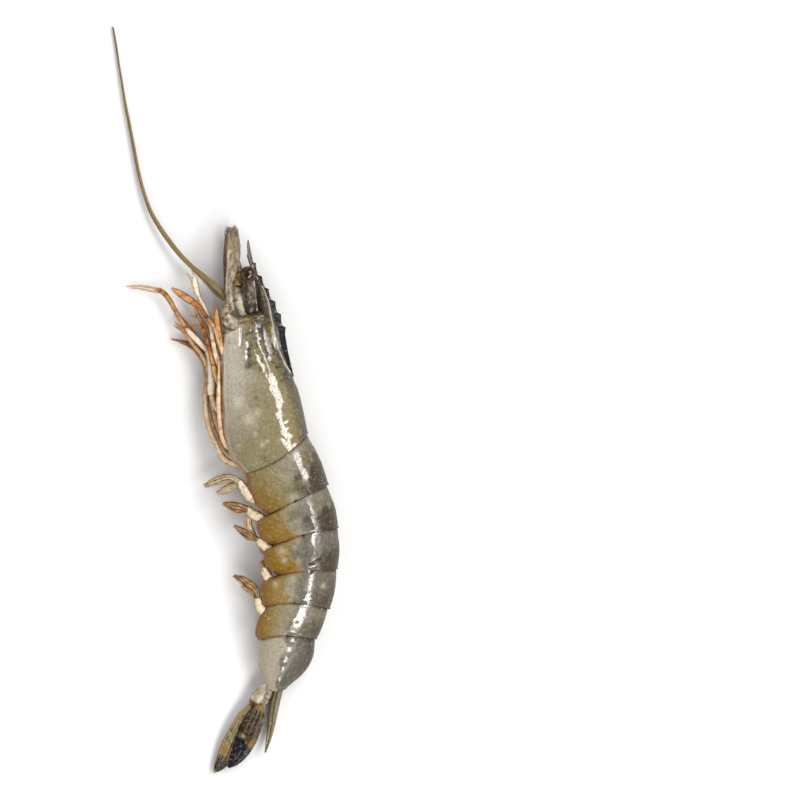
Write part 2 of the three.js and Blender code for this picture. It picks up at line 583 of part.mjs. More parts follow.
const TAIL_LEFT = {
  protopod: [
    [17.8, -116.2, 6.6, 2.0], [15.6, -119.4, 7.0, 2.5, 2.3], [13.1, -122.5, 7.2, 2.9, 2.5],
    [11.6, -124.6, 7.0, 2.4, 2.1],
  ],
  exopod: [
    [10.4, -126.2, 6.4, 1.6, 0.8], [7.3, -130.4, 6.0, 2.5, 0.6], [4.5, -136.0, 5.3, 3.1, 0.55],
    [1.6, -142.0, 4.5, 3.3, 0.5], [-1.0, -147.8, 3.7, 2.9, 0.45], [-3.5, -151.6, 3.0, 1.6, 0.4],
    [-5.0, -153.2, 2.7, 0.4, 0.3],
  ],
  endopod: [
    [14.2, -125.4, 8.2, 1.7, 0.8], [12.9, -129.6, 7.9, 3.3, 0.6], [10.3, -135.2, 7.2, 4.2, 0.5],
    [7.9, -140.4, 6.3, 4.2, 0.45], [5.3, -145.4, 5.4, 3.4, 0.45], [2.8, -149.2, 4.7, 1.9, 0.4],
    [1.1, -151.2, 4.3, 0.4, 0.3],
  ],
};
const TAIL_RIGHT = {
  protopod: [
    [18.4, -116.2, 2.9, 1.8], [16.4, -119.2, 2.5, 2.3, 2.0], [14.0, -122.2, 2.3, 2.6, 2.0],
    [12.6, -124.2, 2.2, 2.2, 1.8],
  ],
  exopod: [
    [11.6, -126.0, 1.5, 1.6, 0.7], [9.3, -129.6, 1.1, 2.5, 0.5], [6.8, -134.8, 0.9, 3.2, 0.45],
    [4.0, -140.6, 0.8, 3.4, 0.4], [1.4, -146.2, 0.7, 2.8, 0.4], [-1.0, -150.0, 0.65, 1.6, 0.35],
    [-2.3, -151.6, 0.6, 0.4, 0.3],
  ],
  endopod: [
    [14.4, -126.2, 2.6, 1.3, 0.6], [13.0, -130.0, 2.4, 2.4, 0.45], [11.0, -134.8, 2.2, 3.4, 0.4],
    [8.6, -139.8, 2.0, 3.6, 0.4], [6.0, -144.4, 1.9, 2.9, 0.35], [3.8, -147.8, 1.8, 1.6, 0.35],
    [2.4, -149.4, 1.7, 0.4, 0.3],
  ],
};

// ---------------------------------------------------------------- finishes

const FINISHES = {
  shell: { color: 0x9b917a, roughness: 0.32 },
  banded_shell: { color: 0x8a7f66, roughness: 0.32 },
  eye: { color: 0x2b241c, roughness: 0.12 },
  feeler: { color: 0x8a7350, roughness: 0.5 },
  head_limb: { color: 0xa59478, roughness: 0.4 },
  leg: { color: 0xd6b78c, roughness: 0.42 },
  swimmeret: { color: 0xb9965f, roughness: 0.4 },
  tail_fan: { color: 0x6e5d3c, roughness: 0.35 },
  tail_joint: { color: 0xcdb896, roughness: 0.3 },
};

// ---------------------------------------------------------------- fitting and assembly

const makers = new Map();

// A piece cut back so that it stays clear of each neighbour that it meets.
function piece(name, finish, make, neighbours = []) {
  makers.set(name, make);
  const solid = neighbours.reduce((rest, other) => rest.subtract(makers.get(other)(GAP)), make(0));
  const { color, roughness } = FINISHES[finish];
  const material = new THREE.MeshStandardMaterial({ name: finish, color, roughness, metalness: 0 });
  const mesh = new THREE.Mesh(geometryOf(solid), material);
  mesh.name = name;
  return mesh;
}

function group(name, ...children) {
  const result = new THREE.Group();
  result.name = name;
  result.add(...children);
  return result;
}

const SIDES = [['left', 1], ['right', -1]];
const perSide = (make) => SIDES.map(([label, side]) => make(label, side));

const body = group(
  'body_shell',
  piece('carapace', 'shell', (grow) => joined([carapaceSkin(grow), rostrumBlade(grow), brow(grow)])),
  ...SEGMENTS.map((_, i) => piece(
    `segment_${i + 1}`,
    i < 4 ? 'banded_shell' : 'shell',
    (grow) => segmentSkin(i + 1, grow),
    [i === 0 ? 'carapace' : `segment_${i}`],
  )),
);

const head = group(
  'head',
  ...perSide((label, side) => piece(`eye_${label}`, 'eye', (grow) => eye(side, grow), ['carapace'])),
  ...perSide((label, side) => piece(
    `antenna_base_${label}`, 'head_limb', (grow) => antennaBase(side, grow), ['carapace'],
  )),
  ...perSide((label, side) => piece(
    `antennal_scale_${label}`, 'head_limb', (grow) => antennalScale(side, grow),
    ['carapace', `antenna_base_${label}`, `eye_${label}`],
  )),
  ...perSide((label, side) => piece(
    `antennule_${label}`, 'head_limb', (grow) => antennule(side, grow),
    ['carapace', `eye_${label}`, `antennal_scale_${label}`],
  )),
  ...perSide((label) => piece(
    `antenna_${label}`, 'feeler', (grow) => feeler(FEELERS[label], grow),
    [`antenna_base_${label}`, 'antennal_scale_left', 'antennal_scale_right'],
  )),
);

const legs = group(
  'legs',
  ...perSide((label) => piece(`jaw_foot_${label}`, 'leg', JAW_FEET[label], ['carapace'])),
  ...Object.keys(LEGS).flatMap((number) => perSide((label) => piece(
    `leg_${number}_${label}`, 'leg', LEGS[number][label], ['carapace', 'segment_1'],
  ))),
);

const swimmerets = group(
  'swimmerets',
  ...SWIMMERETS.flatMap((_, i) => perSide((label, side) => piece(
    `swimmeret_${i + 1}_${label}`, 'swimmeret', (grow) => swimmeret(i + 1, side, grow),
    [i === 0 ? 'carapace' : `segment_${i}`, `segment_${i + 1}`, `segment_${i + 2}`],
  ))),
);

const tail = group(
  'tail_fan',
  piece('telson', 'shell', telson, ['segment_6']),
  ...SIDES.flatMap(([label]) => {
    const fan = label === 'left' ? TAIL_LEFT : TAIL_RIGHT;
    const part = (name, finish, around, against) => piece(
      `${name}_${label}`, finish, (grow) => limb(fan[name], grow, around), against,
    );
    return [
      part('protopod', 'tail_joint', 9, ['segment_6', 'telson']),
      part('exopod', 'tail_fan', 8, [`protopod_${label}`]),
      part('endopod', 'tail_fan', 8, [`protopod_${label}`, `exopod_${label}`]),
    ];
  }),
);

const prawn = group('tiger_prawn', body, head, legs, swimmerets, tail);

export default prawn;
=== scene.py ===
# %% [markdown]
# # Dressing a raw tiger prawn
#
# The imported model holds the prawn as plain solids, in metres, at their real size and place. In this
# lesson each solid is replaced by a finely modelled piece of the same form, with the ridges, rims,
# folds and bristles of the real shell, and each finish is made of shader nodes. Nothing is scanned
# or painted from a picture: shapes come from lines and formulas, and colours from masks and noise.

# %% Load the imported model
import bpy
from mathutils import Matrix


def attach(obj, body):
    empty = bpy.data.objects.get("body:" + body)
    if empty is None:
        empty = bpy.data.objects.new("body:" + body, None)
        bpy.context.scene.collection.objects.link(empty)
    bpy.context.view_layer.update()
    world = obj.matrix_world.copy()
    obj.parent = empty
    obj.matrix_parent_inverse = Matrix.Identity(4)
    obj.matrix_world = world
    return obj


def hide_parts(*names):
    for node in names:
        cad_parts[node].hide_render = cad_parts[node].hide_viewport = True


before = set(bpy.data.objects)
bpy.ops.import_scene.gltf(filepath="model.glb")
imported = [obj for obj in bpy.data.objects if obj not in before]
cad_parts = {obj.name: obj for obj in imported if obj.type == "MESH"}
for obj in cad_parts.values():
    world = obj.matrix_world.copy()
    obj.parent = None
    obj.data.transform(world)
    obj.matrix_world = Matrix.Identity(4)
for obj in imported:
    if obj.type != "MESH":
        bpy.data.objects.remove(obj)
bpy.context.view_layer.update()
print("solids in the model:", len(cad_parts))

# %% Tools and units
import math

import bpy
import numpy as np
from mathutils import Matrix, Vector, noise

MM = 0.001  # every length below is in millimetres until a mesh is made
UP = np.array([0.0, 0.0, 1.0])

# %% [markdown]
# ## Lines
#
# A prawn's outline is drawn with a few given points. A centripetal Catmull-Rom curve
# passes through all of them without loops or overshoots, so it suits organic outlines well. The line
# is then read by share of its length, which keeps the rings of a skin evenly spaced.


# %% A smooth line through a few points
def rail(points, fineness=40):
    """A smooth line. Called with shares of its length, it gives the places there."""
    stops = np.array(points, float)
    padded = np.vstack([2 * stops[0] - stops[1], stops, 2 * stops[-1] - stops[-2]])
    share = np.linspace(0, 1, fineness, endpoint=False)[:, None]
    stretches = []
    for a, b, c, d in zip(padded, padded[1:], padded[2:], padded[3:]):
        gap = [max(np.linalg.norm((q - p)[:3]) ** 0.5, 1e-6) for p, q in ((a, b), (b, c), (c, d))]
        leave = (b - a) / gap[0] - (c - a) / (gap[0] + gap[1]) + (c - b) / gap[1]
        arrive = (c - b) / gap[1] - (d - b) / (gap[1] + gap[2]) + (d - c) / gap[2]
        cube, square = share**3, share**2
        stretches.append(
            (2 * cube - 3 * square + 1) * b + (cube - 2 * square + share) * leave * gap[1]
            + (3 * square - 2 * cube) * c + (cube - square) * arrive * gap[1]
        )
    line = np.vstack([*stretches, stops[-1:]])
    run = np.r_[0, np.cumsum(np.linalg.norm(np.diff(line, axis=0)[:, :3], axis=1))]

    def at(shares):
        return np.stack([np.interp(np.asarray(shares) * run[-1], run, line[:, k])
                         for k in range(line.shape[1])], -1)

    at.length = run[-1]
    at.stops = run[::fineness] / run[-1]
    return at


def eased(values, share):
    """Values at even steps, joined by a smooth line and read at shares of the way."""
    steps = np.linspace(0, 1, len(values))
    slope = np.gradient(values, steps)
    i = np.clip(np.searchsorted(steps, share, side="right") - 1, 0, len(values) - 2)
    width = steps[1]
    s = (share - steps[i]) / width
    values = np.asarray(values, float)
    return ((2 * s**3 - 3 * s**2 + 1) * values[i] + (s**3 - 2 * s**2 + s) * slope[i] * width
            + (3 * s**2 - 2 * s**3) * values[i + 1] + (s**3 - s**2) * slope[i + 1] * width)


def fade(value, low, high):
    """0 below low, 1 above high and smooth between; low may be the larger one."""
    s = np.clip((value - low) / (high - low), 0, 1)
    return s * s * (3 - 2 * s)


def held(value):
    """The value, kept between 0 and 1."""
    return np.clip(value, 0, 1)


def bell(gap, width):
    """1 where the gap is nothing, fading out over a width on both sides of it."""
    return np.exp(-((gap / width) ** 2))


def unit(vectors):
    """The vectors, brought to a length of 1."""
    return vectors / np.maximum(np.linalg.norm(vectors, axis=-1, keepdims=True), 1e-9)


def turned(flat):
    """The direction a quarter turn on from each [x, y] direction."""
    return np.stack([-flat[:, 1], flat[:, 0]], -1)


def near(rows, line, width):
    """A mask that is 1 on a line of [x, y] places and fades out over a width, on both flanks."""
    closest = np.full(rows.shape[:-1], np.inf)
    for start, end in zip(line, line[1:] if len(line) > 1 else line):
        start, along = np.array(start), np.subtract(end, start)
        reach = np.clip(((rows[..., :2] - start) @ along) / max(along @ along, 1e-9), 0, 1)
        gap = np.linalg.norm(rows[..., :2] - start - reach[..., None] * along, axis=-1)
        closest = np.minimum(closest, gap)
    return bell(closest, width)


def spots(rows, places, share=1.0):
    """Round spots, given as pairs of a place and a radius."""
    return sum(near(rows, [place], radius) * share for place, radius in places)


print("a test line is", round(float(rail([[0, 0], [3, 4], [6, 8]]).length), 2), "mm long")

# %% [markdown]
# ## Skins
#
# A body part is a closed skin: rows of points, each row a ring round the part, with a single point
# closing each end. A `Casting` gathers such skins into one mesh object. It also carries masks, which
# are numbers between 0 and 1 at each point, so that a finish can follow the form: how near the back
# a point lies, how near a rim, or where a coloured band runs.


# %% Skins that become a mesh
SHARP = math.radians(55)  # edges bent more than this stay sharp in the shading


class Casting:
    """Gathers closed skins, in millimetres, and turns them into one object."""

    def __init__(self, name):
        self.name = name
        self.points, self.faces, self.face_finish = [], [], []
        self.masks, self.finishes, self.count = [], [], 0

    def skin(self, rows, finish, **masks):
        """rows has the shape (rings, points of a ring, 3). A mask has one number a point."""
        rows = np.asarray(rows, float)
        rings, around = rows.shape[:2]
        points = np.vstack([rows.reshape(-1, 3), rows[[0, -1]].mean(axis=1)])
        here = np.arange(rings * around).reshape(rings, around)
        beside = np.roll(here, -1, axis=1)
        quads = np.stack([here[:-1], beside[:-1], beside[1:], here[1:]], -1).reshape(-1, 4)
        first = np.stack([beside[0], here[0], np.full(around, rings * around)], -1)
        last = np.stack([here[-1], beside[-1], np.full(around, rings * around + 1)], -1)
        a, b, c = (points[quads[:, k]] for k in (0, 1, 2))
        if np.einsum("ij,ij->i", a - points.mean(axis=0), np.cross(b - a, c - a)).sum() < 0:
            quads, first, last = quads[:, ::-1], first[:, ::-1], last[:, ::-1]
        if finish not in self.finishes:
            self.finishes.append(finish)
        faces = [*quads.tolist(), *first.tolist(), *last.tolist()]
        self.faces += [[corner + self.count for corner in face] for face in faces]
        self.face_finish += [self.finishes.index(finish)] * len(faces)
        full = {label: np.broadcast_to(mask, (rings, around)) for label, mask in masks.items()}
        self.masks.append((len(points), {
            label: np.r_[mask.ravel(), mask[0].mean(), mask[-1].mean()] for label, mask in full.items()}))
        self.points.append(points)
        self.count += len(points)
        return self

    def cast(self):
        mesh = bpy.data.meshes.new(self.name)
        mesh.from_pydata((np.vstack(self.points) * MM).tolist(), [], self.faces)
        for label in sorted({label for _, table in self.masks for label in table}):
            values = [table.get(label, np.zeros(count)) for count, table in self.masks]
            mesh.attributes.new(label, "FLOAT", "POINT").data.foreach_set("value", np.concatenate(values))
        for finish in self.finishes:
            mesh.materials.append(finish.material)
        mesh.polygons.foreach_set("material_index", self.face_finish)
        mesh.shade_smooth()
        mesh.set_sharp_from_angle(angle=SHARP)
        return shown(self.name, mesh)


def shown(name, data):
    """A new object in the scene."""
    thing = bpy.data.objects.new(name, data)
    bpy.context.scene.collection.objects.link(thing)
    return thing


def dressed(casting, node):
    """Casts a piece that stands for one solid and rides on the body."""
    piece = casting.cast()
    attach(piece, "root")
    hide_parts(node)
    print(piece.name, "has", len(piece.data.polygons), "faces")


def outward(rows):
    """The direction out of a skin at each of its points."""
    round_it = np.roll(rows, -1, axis=1) - np.roll(rows, 1, axis=1)
    normal = unit(np.cross(round_it, np.gradient(rows, axis=0)))
    centre = rows.mean(axis=1, keepdims=True)
    return normal * np.sign(np.sum(normal * (rows - centre)) or 1)


def raised(rows, height):
    """The skin with its points moved outwards by a height, and kept above the table."""
    moved = rows + outward(rows) * np.asarray(height)[..., None]
    moved[..., 2] = np.maximum(moved[..., 2], 0)
    return moved


def bumps(rows, size, seed=0):
    """Smooth noise between about -1 and 1, whose features have that size in millimetres."""
    offset = Vector((seed * 7.3, seed * 3.1, seed * 5.7))
    flat = (rows / size).reshape(-1, 3).tolist()
    values = [noise.noise(Vector(place) + offset) for place in flat]
    return np.array(values).reshape(rows.shape[:-1])


print("a skin of 3 rings of 8 points has", 2 * 8 + 8 + 8, "faces")

# %% A limb's rings
LIMB_END = 0.6  # how far the rounded end reaches, as a share of the half width
END_TILTS = np.radians([75, 50, 25])  # of the extra rings that round off each end
THINNEST = 0.12, 0.1  # the least half width and half thickness
PINCH, SWELL = (0.30, 0.32), (0.13, 1.3)  # how much a knee folds in, then swells, and over what length


def full_circle(count):
    """Angles at even steps round a ring."""
    return 2 * np.pi * np.arange(count) / count


def limb_line(joints):
    """A line through [x, y, z, half width, half thickness]; a round joint leaves out the last one."""
    return rail([[*joint, joint[3]] if len(joint) == 4 else joint for joint in joints])


def limb_rows(joints, step, around, knees=(), edge=1.0):
    """A limb's rings, the run and the knee fold of each, and each point's place from edge to edge.

    A step is the way from one ring to the next in millimetres, and a higher edge makes thinner edges.
    """
    line = limb_line(joints)
    share = np.linspace(0, 1, max(int(line.length / step), 10))
    values = line(share)
    centre, wide, thick = values[:, :3], *(np.maximum(values[:, 3 + k], THINNEST[k]) for k in (0, 1))
    run = share * line.length
    bends = [run - line.stops[k] * line.length for k in knees]
    straight = np.zeros(len(run))
    fold, swell = (sum((bell(gap, width) for gap in bends), straight) for _, width in (PINCH, SWELL))
    size = 1 - PINCH[0] * fold + SWELL[0] * swell
    along = unit(np.gradient(centre, axis=0))
    side = unit(np.cross(along, UP))
    above = np.cross(side, along)
    reach = LIMB_END * np.minimum(wide, 1.5 * thick)
    pick = np.r_[[0] * 3, np.arange(len(run)), [-1] * 3]
    out, kept = np.sin(END_TILTS), np.cos(END_TILTS)
    push = np.r_[-out * reach[0], np.zeros(len(run)), out[::-1] * reach[-1]]
    shrink = np.r_[kept, np.ones(len(run)), kept[::-1]] * size[pick]
    turn = full_circle(around)
    flat, level = np.cos(turn), np.sin(turn) * np.abs(np.sin(turn)) ** (edge - 1)
    rows = ((centre[pick] + along[pick] * push[:, None])[:, None]
            + side[pick][:, None] * (flat * (wide[pick] * shrink)[:, None])[..., None]
            + above[pick][:, None] * (level * (thick[pick] * shrink)[:, None])[..., None])
    rows[..., 2] = np.maximum(rows[..., 2], 0)
    return rows, run[pick][:, None], fold[pick][:, None], np.broadcast_to(flat, rows.shape[:2])


print("a straight limb of 10 mm has", len(limb_rows([[0, 0, 5, 1], [10, 0, 5, 1]], 0.5, 18)[0]), "rings")

# %% [markdown]
# ## Finishes
#
# A wet shell is half clear: a pale, mottled layer, with darker pigment along the back and a thin film
# of water that gives sharp highlights. Each finish is one Principled shader. The sums that drive it
# are written as Python expressions: `Wire` wraps a socket, and each operator adds a Math node.


# %% Shader maths written as expressions
class Wire:
    """A number or colour inside a finish. Arithmetic on it adds Math nodes."""

    def __init__(self, finish, socket):
        self.finish, self.socket = finish, socket

    def operator(kind, swapped=False):
        return lambda self, other: self.finish.sums(kind, *((other, self) if swapped else (self, other)))

    __add__ = __radd__ = operator("ADD")
    __mul__ = __rmul__ = operator("MULTIPLY")
    __sub__, __rsub__ = operator("SUBTRACT"), operator("SUBTRACT", swapped=True)


class Nodes:
    """A node tree that is built by short calls."""

    def __init__(self, tree):
        self.tree = tree

    def node(self, kind, settings=None, inputs=None):
        """Any node: its settings are set first, then its sockets get values or wires."""
        made = self.tree.nodes.new(kind)
        for key, value in (settings or {}).items():
            if key == "stops":
                for i, (at, colour) in enumerate(value):
                    stops = made.color_ramp.elements
                    stop = stops[i] if i < 2 else stops.new(at)
                    stop.position, stop.color = at, colour
            else:
                setattr(made, key, value)
        for key, value in (inputs or {}).items():
            self.plug(made.inputs[key], value)
        return made

    def plug(self, socket, value):
        if isinstance(value, Wire):
            self.tree.links.new(value.socket, socket)
        else:
            socket.default_value = value

    def sums(self, operation, *values):
        made = self.node("ShaderNodeMath", {"operation": operation}, dict(enumerate(values)))
        return Wire(self, made.outputs[0])


class Finish(Nodes):
    """A material round one Principled shader."""

    def __init__(self, name, **fixed):
        self.material = bpy.data.materials.new(name)
        self.material.use_nodes = True
        super().__init__(self.material.node_tree)
        self.shader = self.tree.nodes["Principled BSDF"]
        for socket, value in fixed.items():
            self.shader.inputs[socket.replace("_", " ")].default_value = value
        self.place = Wire(self, self.node("ShaderNodeTexCoord").outputs["Object"])

    def mask(self, label):
        made = self.node("ShaderNodeAttribute", {"attribute_name": label})
        return Wire(self, made.outputs["Fac"])

    def speckle(self, size, detail, roughness):
        """Noise between 0 and 1, with features of a size in millimetres."""
        scaled = self.node("ShaderNodeMapping", inputs={"Vector": self.place, "Scale": [1 / (MM * size)] * 3})
        made = self.node("ShaderNodeTexNoise", inputs={
            "Vector": Wire(self, scaled.outputs[0]), "Scale": 1.0, "Detail": detail, "Roughness": roughness})
        return Wire(self, made.outputs["Fac"])

    def fade(self, value, low, high):
        made = self.node("ShaderNodeMapRange", {"interpolation_type": "SMOOTHSTEP"}, {
            "Value": value, "From Min": low, "From Max": high})
        return Wire(self, made.outputs["Result"])

    def blend(self, share, start, end):
        made = self.node("ShaderNodeMix", {"data_type": "RGBA"}, {0: share, 6: start, 7: end})
        return Wire(self, made.outputs[2])

    def ramp(self, value, stops):
        made = self.node("ShaderNodeValToRGB", {"stops": stops}, {"Fac": value})
        return Wire(self, made.outputs["Color"])

    def relief(self, height, depth, beneath=None):
        """A bump of a depth in millimetres, on top of the relief beneath it."""
        inputs = {"Height": height, "Distance": depth * MM}
        if beneath:
            inputs["Normal"] = beneath
        return Wire(self, self.node("ShaderNodeBump", inputs=inputs).outputs[0])

    def ends(self, **sockets):
        for socket, value in sockets.items():
            self.plug(self.shader.inputs[socket.replace("_", " ")], value)
        print("finish", self.material.name, "has", len(self.tree.nodes), "nodes")
        return self


def tint(red, green, blue):
    """A colour given in the 0 to 255 steps of a screen, as the shader's linear one."""
    steps = [channel / 255 for channel in (red, green, blue)]
    return (*(s / 12.92 if s < 0.04 else ((s + 0.055) / 1.055) ** 2.4 for s in steps), 1)

# %% [markdown]
# ### The shell's finish
#
# The shell is grey-olive and half clear. Large soft clouds shift it between grey and gold, fine dots
# of pigment cover it, and the masks of each skin add what belongs to a place: a dark crest along the
# back, pale spots, golden brown lobes, brown rims. The masks also lay painted shade in grooves, between
# folds, behind each hoop and on the last segment's upper half, and a painted highlight along the ridge
# beside the snout. Small pits in the surface break up the highlights.


# %% The finish of the wet shell
GREY, OLIVE, GOLD = tint(162, 153, 134), tint(134, 122, 84), tint(130, 98, 14)
DARK_BROWN, INK, PALE = tint(62, 50, 32), tint(20, 20, 24), tint(216, 208, 190)
RIM, SMOKE, CRACK = tint(134, 80, 30), tint(84, 81, 74), tint(12, 9, 7)


def shell_finish(name, coat=0.22, gloss=0.3, dark=DARK_BROWN):
    made = Finish(name, Coat_Roughness=0.06, Coat_IOR=2.5, Specular_IOR_Level=gloss,
                  Subsurface_Weight=0.08, Subsurface_Radius=(1.0, 0.7, 0.4), Subsurface_Scale=0.0012)
    clouds, wisps = made.speckle(9, 3, 0.55), made.speckle(2.6, 4, 0.6)
    mottle = made.speckle(1.2, 4, 0.65)
    dots = made.fade(made.speckle(0.55, 2, 0.5), 0.60, 0.78)

    def overlaid(colour, label, overlay, unevenness, low, high, share=1.0):
        """Lays a colour where a mask is high, with an uneven edge."""
        place = made.fade(made.mask(label) + (wisps - 0.5) * unevenness, low, high)
        return made.blend(place * share, colour, overlay)

    colour = made.blend(made.fade(made.mask("warm") + (clouds - 0.5) * 0.9, 0.25, 0.75), GREY, OLIVE)
    colour = overlaid(colour, "smoke", SMOKE, 0.5, 0.1, 0.9, 0.85)
    colour = overlaid(colour, "gold", GOLD, 0.5, 0.1, 0.85)
    # dark pigment, and also painted shade in grooves, between folds, behind each hoop and on the last segment
    colour = overlaid(colour, "crest", dark, 0.45, 0.12, 0.9)
    colour = overlaid(colour, "ink", INK, 0.5, 0.2, 0.8)
    # the pale mask is pale colour, and along the ridge beside the snout a painted highlight
    colour = made.blend(made.mask("pale") * 0.8, colour, PALE)
    colour = overlaid(colour, "rim", RIM, 0.3, 0.2, 0.75, 0.85)
    colour = made.blend(made.fade(mottle, 0.50, 0.72) * 0.42, colour, dark)
    colour = made.blend(made.fade(mottle, 0.48, 0.25) * 0.28, colour, PALE)
    colour = made.blend(dots * 0.34, colour, dark)
    colour = made.blend(made.mask("crack"), colour, CRACK)
    waves = made.relief(wisps, 0.24)
    pits = made.relief(made.speckle(0.8, 3, 0.65), 0.13, waves)
    film = made.fade(made.speckle(0.6, 3, 0.6), 0.38, 0.56) * 0.75 + coat
    made.ends(Base_Color=colour, Roughness=wisps * 0.2 + 0.36, Normal=pits,
              Coat_Weight=film * (1 - made.mask("dry")))
    return made


shell = shell_finish("wet_shell")
blade_finish = shell_finish("snout_blade", 0.0, 0.12)

# %% [markdown]
# ## The body
#
# The carapace and the six segments share one cross-section: a half ring runs from the back, down the
# flank to a free lower edge, and then turns in under the belly. Rings of that shape are laid between
# the line of the back and the line of the belly, exactly as in the solids, but much more closely, so
# that there is room for ridges and rims a fraction of a millimetre high.

# %% The shared cross-section
PRESSED = 0.4
EDGE_AT = 10 / 13
EDGE_TURN = math.radians(160)
HOLLOW = 0.7
SEAM_HALF_WIDTHS = [12.6, 12.6, 12.3, 11.6, 10.6, 9.2, 5.0]
SEAM_BOWS = [-2.6, 0, 1.3, 0.6, 2.1, 2.0, -1.6]
AROUND = 260

turns = np.arange(AROUND) / AROUND
half = np.where(turns <= 0.5, 2 * turns, 2 * (1 - turns))
side = np.where(turns <= 0.5, 1.0, -1.0)  # 1 on the left flank, which faces up
flank_turn = np.minimum(half / EDGE_AT, 1) * EDGE_TURN
inward = np.clip((half - EDGE_AT) / (1 - EDGE_AT), 0, 1)
depth = 1 - 2 * (1 - np.cos(flank_turn)) / (1 - math.cos(EDGE_TURN))
depth = np.where(inward > 0, -1 + (1 - HOLLOW) * np.sin(inward * math.pi / 2), depth)
fullness = np.where(flank_turn < math.pi / 2, 0.92, 0.7)
breadth = np.sin(flank_turn) ** fullness * (1 - inward)


def seam_height(seam):
    return SEAM_HALF_WIDTHS[seam] - PRESSED


def body_rings(back, belly, half_width, height, bow, scale=1.0, ahead=0.0):
    """One ring for each [x, y] place of the back and the belly; the other values may be lists."""
    back, belly = np.atleast_2d(back), np.atleast_2d(belly)
    half_width, height, bow, scale, ahead = (
        np.broadcast_to(v, len(back))[:, None] for v in (half_width, height, bow, scale, ahead))
    across = unit(back - belly)
    forward = turned(across)
    drop = depth * np.linalg.norm(back - belly, axis=1, keepdims=True) / 2 * scale
    lead = bow * (1 - depth**2 * scale**2) + ahead
    middle = (back + belly) / 2
    flat = middle[:, None] + across[:, None] * drop[..., None] + forward[:, None] * lead[..., None]
    level = np.maximum(height + side * breadth * half_width * scale, 0)
    return np.concatenate([flat, level[..., None]], -1)


low_edge, edge_band = bell(half - EDGE_AT, 0.012), bell(half - EDGE_AT, 0.07)
on_flank = np.where(inward > 0, 0.0, 1.0)
print("points in a ring:", AROUND, "- lower edge at", round(float(depth.min()), 2))

# %% [markdown]
# ### The carapace
#
# The carapace is the one-piece shell over the head and chest. Its front corner carries folds and
# grooves, a raised line runs beside the snout, and its hind edge has a fine bead that lies over the
# first segment. These are drawn as lines on the flank, and each lifts or sinks the skin softly.

# %% Lines on the carapace, as [x, y] places
CARAPACE = {
    "back": [[19.6, 35.2], [21.9, 26.4], [24.4, 17.4], [27.5, 9.6], [30.6, 0.9], [33.8, -13.7]],
    "belly": [[-1.3, 25.6], [-1.6, 16], [-1.5, 6], [-0.9, -5], [0.2, -16], [3.4, -25], [7.9, -30]],
    "half_widths": [8.2, 10.8, 12.4, 13, 13, 12.6],
    "nose_tilt": 0.8,
    "dome": 4.5,
}
SNOUT_RIDGE = [[15, 46.5], [17.3, 40.8], [19.7, 29], [21.7, 20.3], [24.4, 14.5], [26.6, 11.2]]
FOLDS = [[[7.2, 16.2], [7.6, 20.4], [8.4, 24.4], [10, 27.7], [11.2, 25.2], [11.9, 22.4]], [[12, 31.5],
    [12.9, 25.2], [14.4, 20.3], [16.6, 15.4], [18.3, 12.2]], [[11, 20.5], [12.6, 16.6], [14.8, 13.2]],
    [[19.2, 25.6], [19.6, 20.6], [18.8, 16.6]]]
VALLEYS = [[[9.4, 13.6], [9.6, 18.2], [9.9, 23]], [[15.6, 29], [16.4, 23.5], [17.6, 18.6]]]
GUTTER = [[7.4, 35.8], [7, 30], [6.5, 22.3]]
FINE_GROOVE = [[2.3, 23.2], [3.1, 18.2], [4.4, 13]]
PALE_SPOTS = [([5.5, -1], 2.1), ([9.6, -8], 2), ([13.7, -5.1], 1), ([12.1, -14.1], 0.8), ([15.4, -18.6],
    0.8), ([17.4, -17], 0.6), ([6.8, 11.3], 0.35), ([3.9, 21.3], 0.4)]
# faint brown smudges, and painted shade below and between the folds
DARK_PATCHES_AND_FOLD_SHADE = [([12.5, 1], 1.5), ([10.4, 13.6], 1.4), ([8, 13.4], 1.2), ([16, -24], 1.6), ([10.8, 27.5],
    1.2), ([14.2, 30], 1.2), ([17.6, 25], 1.3), ([14.6, 12.6], 1.2)]

# %% The carapace's skin
CARAPACE_ROWS, FLANK_LENGTH = 240, 44
length_share = np.linspace(0, 1, CARAPACE_ROWS)
lip = 5  # rows that turn the shell's front and hind edge inwards
share = np.r_[np.zeros(lip), length_share, np.ones(lip)]
turn_in = np.r_[np.linspace(0.03, 0.004, lip), np.zeros(CARAPACE_ROWS), np.linspace(0.015, 0.30, lip)]
tuck = np.r_[np.linspace(0.4, 0.08, lip), np.zeros(CARAPACE_ROWS), np.linspace(0.0, 0.5, lip)]
rows = body_rings(
    rail(CARAPACE["back"])(share), rail(CARAPACE["belly"])(share),
    eased(CARAPACE["half_widths"], share), seam_height(0) - CARAPACE["nose_tilt"] * (1 - share),
    SEAM_BOWS[0] * share, 1 - turn_in, tuck)
share = share[:, None]


def before_ridge(rows):
    """A mask for what lies between the ridge beside the snout and the midline of the back."""
    x, y = np.transpose(SNOUT_RIDGE[::-1])
    return fade(rows[..., 0] - np.interp(rows[..., 1], y, x), -0.2, 0.6)


